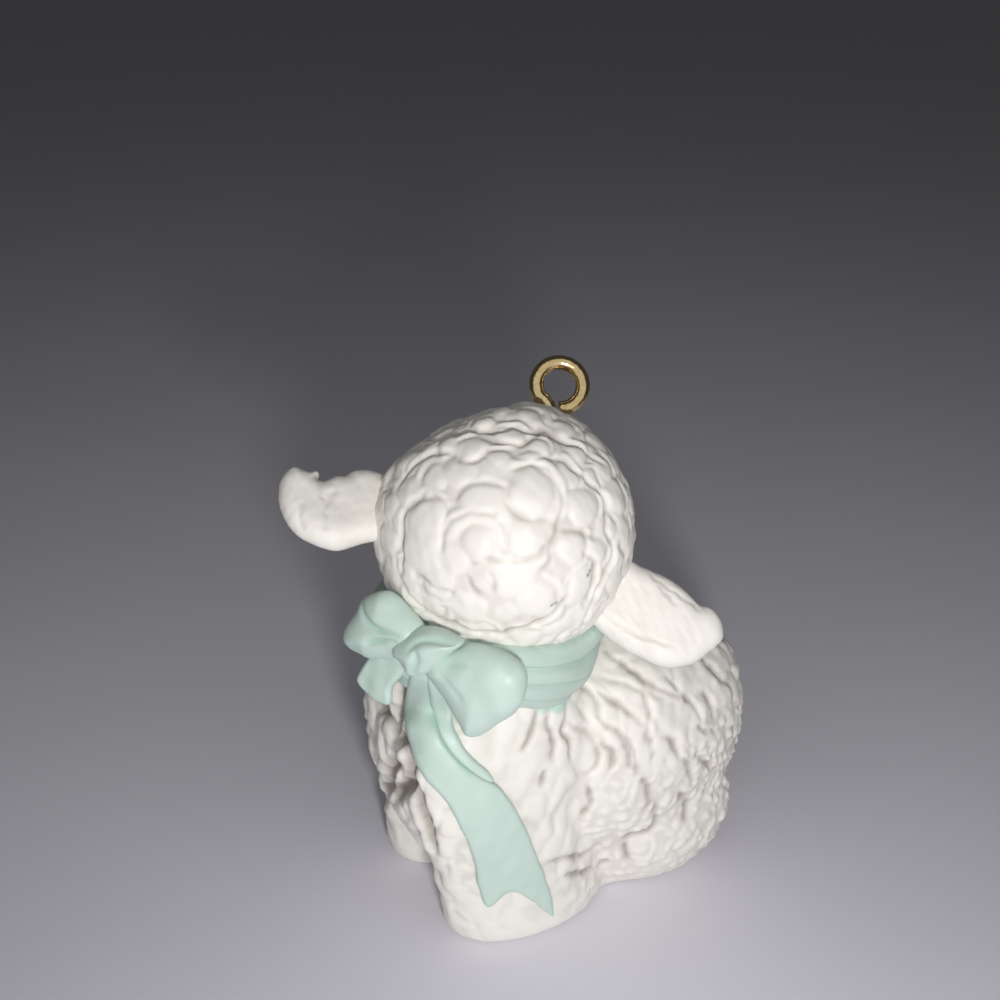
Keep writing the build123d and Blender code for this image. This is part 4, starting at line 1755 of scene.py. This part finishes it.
@dataclass
class Ears:
    """Two leaf-shaped ears with a woolly back and a cupped front.

    Attributes:
        view: The photograph's camera.
        thickness: Their thickness.
        rounding: How far in from their edge they reach it.
        cup: Depth of the hollow in the front.
        back: How far they are set behind the middle of the head.
        tilts: Degrees by which the left and the right ear are turned about their length.
        hinges: Height, from the head's middle, of the line about which each is turned.
        groove_half: Half the width of the grooves pressed into them.
        groove_depth: Their depth.
        lump: Height of their soft lumps.
        grain: Height of their small unevenness.
        voxel: Size of the mesh's faces.
    """

    view: PhotoView
    thickness: float = 3.2
    rounding: float = 1.9
    cup: float = 1.0
    back: float = 1.2
    tilts: tuple[float, float] = (23.0, 0.0)
    hinges: tuple[float, float] = (-4.5, 0.0)
    groove_half: float = 0.28
    groove_depth: float = 0.18
    lump: float = 0.03
    grain: float = 0.014
    voxel: float = 0.15

    def outlines(self) -> dict[str, Line]:
        """Outlines of the ears in the photograph, with their roots carried on into the head."""
        return {
            "left_ear": (
                (396, 480), (380, 475), (372, 472), (360, 471), (350, 473), (344, 478), (336, 477),
                (328, 480), (322, 483), (317, 481), (321, 476), (316, 471), (310, 474), (303, 472),
                (297, 469), (291, 468), (286, 472), (281, 478), (279, 485), (278, 500), (280, 510),
                (286, 521), (293, 530), (302, 538), (312, 543), (323, 547), (335, 550), (345, 549),
                (355, 546), (362, 543), (371, 541), (392, 537),
            ),
            "right_ear": (
                (606, 552), (622, 558), (630, 560), (640, 566), (647, 569), (655, 572), (662, 575),
                (672, 581), (682, 588), (692, 598), (700, 606), (707, 606), (716, 612), (722, 622),
                (724, 633), (722, 640), (716, 646), (709, 652), (700, 660), (692, 664), (683, 667),
                (670, 668), (660, 666), (650, 662), (640, 657), (630, 652), (615, 643), (605, 636),
                (596, 627), (582, 614),
            ),
        }

    def grooves(self) -> dict[str, dict[str, Line]]:
        """Lines of pixels along which the photograph shows grooves in the ears."""
        return {
            "left_ear": {
                "flap": ((319, 482), (321, 493), (328, 501), (326, 514), (323, 530)),
                "first_fold": ((337, 483), (332, 494), (330, 504)),
                "second_fold": ((306, 502), (298, 516), (305, 528)),
            },
            "right_ear": {
                "top_rim": ((650, 573), (661, 582), (671, 590), (684, 598), (699, 609)),
                "second_rim": ((657, 583), (667, 594), (680, 604)),
                "long_fold": ((603, 611), (612, 620), (626, 629), (641, 637), (656, 642), (671, 644)),
            },
        }

    def build(self, bisque: bpy.types.Material) -> None:
        """Models both ears and dresses them.

        Args:
            bisque: The porcelain finish.
        """
        columns = (HEAD.turned.col[0], HEAD.turned.col[2], -HEAD.turned.col[1])
        for number, (name, pixels) in enumerate(self.outlines().items()):
            turned = Matrix(columns).transposed() @ turn("X", self.tilts[number])
            plane = Axes(HEAD.at(0, self.back, self.hinges[number]), turned)
            outline = self.view.laid(plane, rounded(pixels, closed=True))
            ear = Form.pad(plane, outline, self.thickness, self.rounding, self.voxel)
            ear.relax(4)
            points = ear.points()
            local = plane.local(points)
            depth, _ = nearest(local[:, :2], np.vstack([outline, outline[:1]]))
            front = ease(local[:, 2], 0.2, 1.0)
            lines = self.grooves()[name].values()
            furrows = self.view.furrows(ear, lines, self.groove_half, self.groove_depth)
            lumps = self.lump * ripple(points, 2.6, 61 + number)
            lumps += self.grain * ripple(points, 0.9, 71 + number)
            heights = lumps * (1 - 0.7 * front) + furrowed(swayed(points, 0.15, 1.6, 81), furrows)
            heights -= self.cup * front * ease(depth, 0.8, 2.6)
            heights = ear.blur(heights, 2)
            ear.lift(heights)
            ear.relax(1, 0.4)
            # Painted shade in the grooves pressed into the back of each ear.
            ear.mark("groove", ear.blur(np.clip(-heights / 0.5, 0, 0.8), 2) * (1 - front))
            ear.mark("tint", np.zeros(len(points)))
            ear.mark("speck", np.zeros(len(points)))
            ear.finish(name + "_skin", bisque, Slot.BISQUE, name)


@dataclass
class Bow:
    """The clay ribbon: collar, knot, loops and tails.

    Attributes:
        view: The photograph's camera.
        side: Degrees round the neck to the bow's middle.
        reach: How far that middle is from the neck's axis.
        drop: How far it is below the head's middle.
        sweep: Degrees by which the rear loop turns towards the neck.
        loop_thickness: Thickness of the loops.
        loop_rounding: How far in from their edge they reach it.
        rear_folds: Depth of the folds in the rear loop.
        front_folds: Depth of the folds in the front loop.
        knot_thickness: Thickness of the knot.
        knot_rounding: How far in from its edge it reaches that thickness.
        knot_folds: Depth of the folds in it.
        knot_out: How far it stands out over the loops.
        fold_half: Half the width of all these folds.
        lump: Height of the clay's soft lumps.
        short_in: How far the short end lies behind the loops.
        strip_thickness: Thickness of the ribbon's ends.
        strip_rounding: How far in from its edge the long end reaches it.
        long_lift: How far the long end's middle lies above the wool.
        fold_lift: The same for the layer folded beside it.
        away: About how far the long end is from the lens.
        evened: How often the lie of the long end is evened out.
        band_outside: Radius of the collar before it is pleated.
        band_inside: Radius of its inside.
        pleats: Edges of the collar's pleats: place along the neck, radius there and swell above it.
        pleat_half: Half the width of the grooves between them.
        pleat_depth: Depth of those grooves.
        ear_rise: How far the collar's upper edge is drawn up under the right ear.
        ear_swell: How far it stands out there.
        chest_drop: How far that edge is lowered right of the chest's middle.
        flare: How far it stands out all round.
        voxel: Size of the mesh's faces.
    """

    view: PhotoView
    side: float = 33.0
    reach: float = 12.6
    drop: float = 11.0
    sweep: float = 8.0
    loop_thickness: float = 4.6
    loop_rounding: float = 3.6
    rear_folds: float = 0.14
    front_folds: float = 0.42
    knot_thickness: float = 4.6
    knot_rounding: float = 2.6
    knot_folds: float = 0.3
    knot_out: float = 0.5
    fold_half: float = 0.35
    lump: float = 0.05
    short_in: float = 0.75
    strip_thickness: float = 1.2
    strip_rounding: float = 0.55
    long_lift: float = 0.75
    fold_lift: float = 0.35
    away: float = 132.0
    evened: int = 160
    band_outside: float = 12.8
    band_inside: float = 9.0
    pleats: tuple[tuple[float, float, float], ...] = (
        (-16.3, 10.5, 0.1), (-14.4, 11.7, 0.3), (-12.2, 12.1, 0.5), (-10.0, 11.7, 0.6), (-7.8, 11.2, 0.0),
    )
    pleat_half: float = 0.2
    pleat_depth: float = 0.22
    ear_rise: float = 0.8
    ear_swell: float = 0.7
    chest_drop: float = 2.6
    flare: float = 0.3
    voxel: float = 0.15

    def plane(self, sweep: float = 0.0, out: float = 0.0) -> Axes:
        """Plane across the bow, which looks out from the neck.

        Args:
            sweep: Degrees by which it is turned about the neck's direction.
            out: How far it lies outside the bow's middle.

        Returns:
            Its axes: to the rear, up along the neck, and outwards.
        """
        side = NECK.turned @ turn("Z", self.side)
        turned = Matrix((side.col[1], side.col[2], side.col[0])).transposed() @ turn("Y", sweep)
        return Axes(NECK.origin + side @ Vector((self.reach + out, 0, -self.drop)), turned)

    def outlines(self) -> dict[str, Line]:
        """Outlines of the bow's pieces in the photograph."""
        return {
            "bow_loop_rear": (
                (430, 655), (440, 651), (448, 650), (460, 646), (470, 644), (482, 645), (492, 648),
                (500, 652), (508, 655), (515, 660), (521, 666), (525, 673), (527, 681), (526, 690),
                (524, 700), (519, 709), (512, 716), (500, 722), (491, 729), (483, 734), (476, 736),
                (470, 735), (465, 731), (461, 724), (456, 714), (449, 702), (441, 690), (434, 680),
                (424, 670),
            ),
            "bow_loop_front": (
                (412, 655), (398, 657), (385, 658), (371, 658), (368, 655), (362, 652), (354, 648),
                (348, 642), (346, 635), (347, 627), (350, 619), (356, 612), (360, 606), (362, 599),
                (370, 594), (378, 591), (386, 590), (396, 597), (404, 606), (414, 616), (424, 628),
                (424, 640),
            ),
            "bow_knot": (
                (396, 650), (396, 643), (399, 638), (405, 635), (413, 630), (422, 627), (432, 627),
                (442, 631), (452, 636), (462, 641), (463, 645), (455, 650), (446, 657), (438, 666),
                (431, 672), (425, 674), (418, 675), (412, 674), (409, 668), (405, 660), (398, 657),
            ),
            "ribbon_tail_short": (
                (371, 652), (367, 662), (357, 676), (359, 682), (365, 690), (375, 698), (386, 706),
                (391, 706), (392, 699), (391, 690), (395, 683), (403, 675), (414, 660), (400, 650),
            ),
            "ribbon_tail_long": (
                (408, 662), (410, 676), (407, 690), (404, 705), (404, 720), (407, 735), (411, 750),
                (416, 765), (423, 777), (434, 789), (445, 801), (453, 813), (459, 825), (465, 837),
                (470, 850), (474, 863), (476, 876), (479, 890), (484, 905), (490, 909), (498, 903),
                (503, 896), (508, 892), (515, 891), (523, 895), (531, 900), (540, 907), (548, 914),
                (555, 919), (553, 903), (549, 886), (543, 870), (537, 856), (531, 841), (528, 831),
                (521, 818), (514, 807), (507, 796), (500, 786), (492, 782), (484, 779), (472, 771),
                (462, 763), (450, 750), (442, 737), (437, 722), (434, 707), (432, 695), (429, 682),
                (428, 662),
            ),
            "ribbon_tail_fold": (
                (424, 664), (426, 682), (429, 695), (431, 707), (434, 722), (439, 738), (447, 751),
                (459, 765), (470, 774), (483, 782), (497, 784), (491, 774), (485, 768), (476, 761),
                (470, 755), (463, 745), (458, 735), (453, 725), (452, 712), (452, 690), (446, 664),
            ),
        }

    def folds(self) -> dict[str, dict[str, Line]]:
        """Lines of pixels along which the photograph shows folds pressed into the bow."""
        return {
            "bow_loop_rear": {
                "upper": ((446, 662), (456, 665), (466, 666)),
                "lower": ((438, 674), (450, 686), (462, 702)),
            },
            "bow_loop_front": {
                "between_lobes": ((360, 598), (361, 612), (366, 622), (376, 630), (388, 633), (399, 638)),
                "second": ((366, 644), (376, 642), (386, 641), (396, 642)),
            },
            "bow_knot": {
                "over": ((408, 650), (416, 643), (428, 640), (444, 643), (456, 646)),
                "down": ((414, 652), (417, 662), (413, 674)),
            },
        }

    def piece(self, name: str, plane: Axes, thickness: float, rounding: float, depth: float) -> Form:
        """One padded piece of the bow.

        Args:
            name: The construction node that it stands for.
            plane: The plane that halves it.
            thickness: Its thickness.
            rounding: How far in from its edge it reaches that thickness.
            depth: Depth of the folds pressed into it.

        Returns:
            The form.
        """
        outline = self.view.laid(plane, rounded(self.outlines()[name], closed=True))
        form = Form.pad(plane, outline, thickness, rounding, self.voxel)
        form.relax(3 if rounding < 1 else 6)
        lines = self.folds().get(name, {}).values()
        furrows = self.view.furrows(form, lines, self.fold_half, depth)
        points = form.points()
        heights = furrowed(points, furrows) + self.lump * ripple(points, 2.6, len(name))
        form.lift(form.blur(heights, 3))
        form.relax(2, 0.4)
        # Painted shade along the folds pressed into the piece.
        form.mark("groove", form.blur(np.clip(-heights / 0.6, 0, 0.7), 3))
        return form

    def collar(self) -> Form:
        """The pleated band round the neck, drawn up to the head and pressed onto the wool at its foot."""
        edges, radii, swells = (np.array(column) for column in zip(*self.pleats))
        band = Form.cylinder(NECK, self.band_outside, edges[0], edges[-1])
        band.cut(Form.cylinder(NECK, self.band_inside, edges[0] - 1, edges[-1] + 1))
        band.remesh(1.35 * self.voxel)
        band.relax(3)
        local = NECK.local(band.points())
        angle = np.degrees(np.arctan2(local[:, 1], local[:, 0]))
        away = np.hypot(local[:, 0], local[:, 1])
        down = local[:, 2].copy()
        place = np.clip(np.searchsorted(edges, down) - 1, 0, len(edges) - 2)
        within = np.clip((down - edges[place]) / (edges[place + 1] - edges[place]), 0, 1)
        radius = np.interp(down, edges, radii) + swells[place] * arch(2 * within - 1)
        share = (down - edges[0]) / (edges[-1] - edges[0])
        rise = (1 - share) * collar_foot(angle) + share * self.ear_rise * bell((angle - 145) / 20)
        rise -= share * self.chest_drop * bell((angle + 38) / 42)
        local[:, 2] += rise + 0.1 * np.sin(np.radians(5 * angle + 40)) + 0.07 * np.sin(np.radians(11 * angle))
        grooves = sum(self.pleat_depth * bell((down - edge) / self.pleat_half) for edge in edges[1:-1])
        folds = 0.12 * np.sin(np.radians(6 * angle) + 1.5 * down) + self.flare * share ** 3
        folds += self.ear_swell * bell((angle - 148) / 24) * (0.3 + 0.7 * share)
        outer = ease(away, self.band_inside + 0.5, self.band_inside + 1.5)
        grown = away + outer * (radius - self.band_outside + folds - grooves)
        local[:, :2] *= (grown / np.maximum(away, 1))[:, None]
        band.place(NECK.world(local))
        band.relax(2, 0.4)
        # Painted shade in the grooves between the pleats.
        band.mark("groove", band.blur(np.clip(1.4 * grooves * outer, 0, 0.4), 2))
        return band

    def build(self, slip: bpy.types.Material, body: bpy.types.Object) -> None:
        """Models the ribbon's pieces and dresses them.

        Args:
            slip: The mint finish.
            body: The finished body, which the long end lies on.
        """
        collar = self.collar().finish("ribbon_collar_skin", slip, Slot.RIBBON, "ribbon_collar")
        loop = (self.loop_thickness, self.loop_rounding)
        knot = (self.knot_thickness, self.knot_rounding, self.knot_folds)
        for name, plane, sizes in (
            ("bow_loop_rear", self.plane(self.sweep), (*loop, self.rear_folds)),
            ("bow_loop_front", self.plane(), (*loop, self.front_folds)),
            ("bow_knot", self.plane(0, self.knot_out), knot),
            ("ribbon_tail_short", self.plane(0, -self.short_in), (self.strip_thickness, 0.45, 0)),
        ):
            self.piece(name, plane, *sizes).finish(name + "_skin", slip, Slot.RIBBON, name)
        for name, lift in (("ribbon_tail_long", self.long_lift), ("ribbon_tail_fold", self.fold_lift)):
            strip = self.draped(name, (body, collar), lift)
            strip.finish(name + "_skin", slip, Slot.RIBBON, name)

    def draped(self, name: str, under: Sequence[bpy.types.Object], lift: float) -> Form:
        """Strip of ribbon laid over the lamb, with its edges where the photograph shows them.

        Args:
            name: The construction node that it stands for.
            under: Finished pieces that it lies on.
            lift: How far its middle lies above them.

        Returns:
            The form.
        """
        facing = self.view.axes()
        plane = Axes(facing.at(0, 0, -self.away), facing.turned)
        outline = self.view.laid(plane, rounded(self.outlines()[name], closed=True))
        strip = Form.pad(plane, outline, self.strip_thickness, self.strip_rounding, self.voxel)
        local = plane.local(strip.points())
        lens = np.array(self.view.place)
        ways = plane.world(local * (1, 1, 0)) - lens
        ways /= np.linalg.norm(ways, axis=1)[:, None]
        depth = np.full(len(ways), np.inf)
        bpy.context.view_layer.update()
        for number, way in enumerate(ways):
            for thing in under:
                met, place, _, _ = thing.ray_cast(Vector(lens * MM), Vector(way))
                if met:
                    depth[number] = min(depth[number], (place - Vector(lens * MM)).length / MM)
        found = np.flatnonzero(np.isfinite(depth))
        for number in np.flatnonzero(~np.isfinite(depth)):
            away = np.linalg.norm(local[found, :2] - local[number, :2], axis=1)
            depth[number] = depth[found[away.argmin()]]
        depth = strip.blur(depth, self.evened)
        strip.place(lens + ways * (depth - lift - local[:, 2])[:, None])
        strip.relax(2, 0.4)
        strip.lift(0.04 * ripple(strip.points(), 3.0, len(name)))
        # Painted shade along the line where the folded layer meets the long end, on both strips.
        crease = np.array(self.outlines()["ribbon_tail_fold"][:9], float)
        crease_local = self.view.laid(plane, [tuple(pixel) for pixel in crease])
        gap, _ = nearest(local[:, :2], crease_local)
        strip.mark("groove", 0.5 * bell(gap / 0.35))
        return strip


@dataclass
class ScrewEye:
    """The screw eye: wire bent into a ring, with its shank in the plug.

    Attributes:
        wire: Radius of the wire.
        ring: Radius of the ring's centreline.
        height: Height of the ring's middle above the head's middle.
        shank: Length of the shank below the ring.
        first: Degrees round the ring where the shank's bend joins it.
        last: Degrees round the ring where the wire ends.
        bend: Where the bend between shank and ring begins, below the ring, and its corner, above that.
        steps: Steps round the ring and along the bend.
    """

    wire: float = 0.785
    ring: float = 2.5
    height: float = 16.4
    shank: float = 6.0
    first: float = -52.0
    last: float = 250.0
    bend: tuple[float, float] = (-0.9, 0.1)
    steps: tuple[int, int] = (72, 12)

    def path(self) -> np.ndarray:
        """Points along the middle of the wire, from the shank's foot round the ring to its end."""
        angles = np.radians(np.linspace(self.first, self.last, self.steps[0]))
        ring = self.ring * np.stack([np.cos(angles), np.sin(angles)], axis=1) + (0, self.height)
        foot = np.array((0.0, self.height - self.ring - self.shank))
        knee, corner = (np.array((0.0, self.height - self.ring + up)) for up in self.bend)
        shares = np.linspace(0, 1, self.steps[1])[:-1, None]
        bend = (1 - shares) ** 2 * knee + 2 * shares * (1 - shares) * corner + shares ** 2 * ring[0]
        run = np.vstack([foot, bend, ring])
        return np.column_stack([run[:, 0], np.zeros(len(run)), run[:, 1]])

    def build(self, brass: bpy.types.Material) -> bpy.types.Object:
        """Models the wire and dresses it.

        Args:
            brass: The wire's finish.

        Returns:
            The screw eye.
        """
        wire = Form.wire(HEAD, self.path(), self.wire)
        return wire.finish("screw_eye_wire", brass, Slot.BRASS, "screw_eye")


@dataclass(frozen=True)
class Studio:
    """A plain pale table and soft light, with the brightest light beside the lens.

    Attributes:
        view: The photograph's camera.
        width: Width of the table, in metres.
        table: Colour of the table.
        gloss: Its roughness.
        cloud: Colour of its faint clouds.
        cloud_size: Size of those clouds, in millimetres.
        key: Power of the light beside the lens, in watts.
        key_size: Width of that light, in millimetres.
        key_offset: Where it is, right of and above the lens, in millimetres.
        fill: Power of the wide dim light round the lens, in watts.
        fill_size: Width of that light, in millimetres.
        fill_back: How far it is behind the lens, in millimetres.
        sky: Colour of the light all round.
        sky_strength: Its strength.
    """

    view: PhotoView
    width: float = 6.0
    table: str = "#E2E0E8"
    gloss: float = 0.7
    cloud: str = "#DAD8E1"
    cloud_size: float = 40.0
    key: float = 0.095
    key_size: float = 16.0
    key_offset: tuple[float, float] = (16.0, -32.0)
    fill: float = 0.21
    fill_size: float = 400.0
    fill_back: float = 15.0
    sky: str = "#EEF0F6"
    sky_strength: float = 0.05

    def lamp(self, name: str, power: float, size: float, offset: tuple[float, float], back: float) -> None:
        """Adds one round light that faces the way the camera looks.

        Args:
            name: Its name.
            power: Its power in watts.
            size: Its width in millimetres.
            offset: Where it is, right of and above the lens.
            back: How far it is behind the lens.
        """
        light = bpy.data.lights.new(name, "AREA")
        light.shape = "DISK"
        light.size = size * MM
        light.energy = power
        thing = bpy.data.objects.new(name, light)
        bpy.context.scene.collection.objects.link(thing)
        axes = self.view.axes()
        thing.matrix_world = Matrix.Translation(axes.at(*offset, back) * MM) @ axes.turned.to_4x4()

    def build(self) -> None:
        """Makes the table and the lights."""
        bpy.ops.object.select_all(action="DESELECT")
        bpy.ops.mesh.primitive_plane_add(size=self.width, location=(0, 0, 0))
        floor = bpy.context.object
        floor.name = "table"
        material, tree = new_material("pale_table")
        place = add_node(tree, "ShaderNodeTexCoord").outputs["Object"]
        noise = {"Scale": per_metre(self.cloud_size), "Detail": 4.0}
        clouds = add_node(tree, "ShaderNodeTexNoise", noise, {"Vector": place}).outputs["Fac"]
        colours = {"data_type": "RGBA", 6: linear(self.table), 7: linear(self.cloud)}
        colour = add_node(tree, "ShaderNodeMix", colours, {0: clouds}).outputs[2]
        shader = add_node(tree, "ShaderNodeBsdfPrincipled", {"Roughness": self.gloss}, {"Base Color": colour})
        add_node(tree, "ShaderNodeOutputMaterial", links={"Surface": shader.outputs["BSDF"]})
        floor.data.materials.append(material)
        self.lamp("key", self.key, self.key_size, self.key_offset, 0)
        self.lamp("fill", self.fill, self.fill_size, (0, 0), self.fill_back)
        world = bpy.data.worlds.new("studio")
        world.use_nodes = True
        background = world.node_tree.nodes["Background"]
        background.inputs["Color"].default_value = linear(self.sky)
        background.inputs["Strength"].default_value = self.sky_strength
        bpy.context.scene.world = world
        bpy.context.scene.view_settings.view_transform = "Standard"


def main() -> None:
    """Builds the lamb piece by piece on its frame."""
    logging.basicConfig(level=logging.INFO, format="%(message)s")
    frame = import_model()
    view = PhotoView()
    view.camera()
    bisque = Bisque().make()
    slip = MintSlip().make()
    brass = DrawnBrass().make()
    nodes = frame["nodes"]
    head = Head(view)
    head.build(bisque)
    head.paint(EyePaint().make(), NosePaint().make())
    body = Body(view, nodes).build(bisque)
    Ears(view).build(bisque)
    Bow(view).build(slip, body)
    ScrewEye().build(brass)
    plug = nodes["anchor_plug"].data.materials
    plug.clear()
    plug.append(PlasterFiller().make())
    Studio(view).build()
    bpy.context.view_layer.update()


if __name__ == "__main__":
    main()
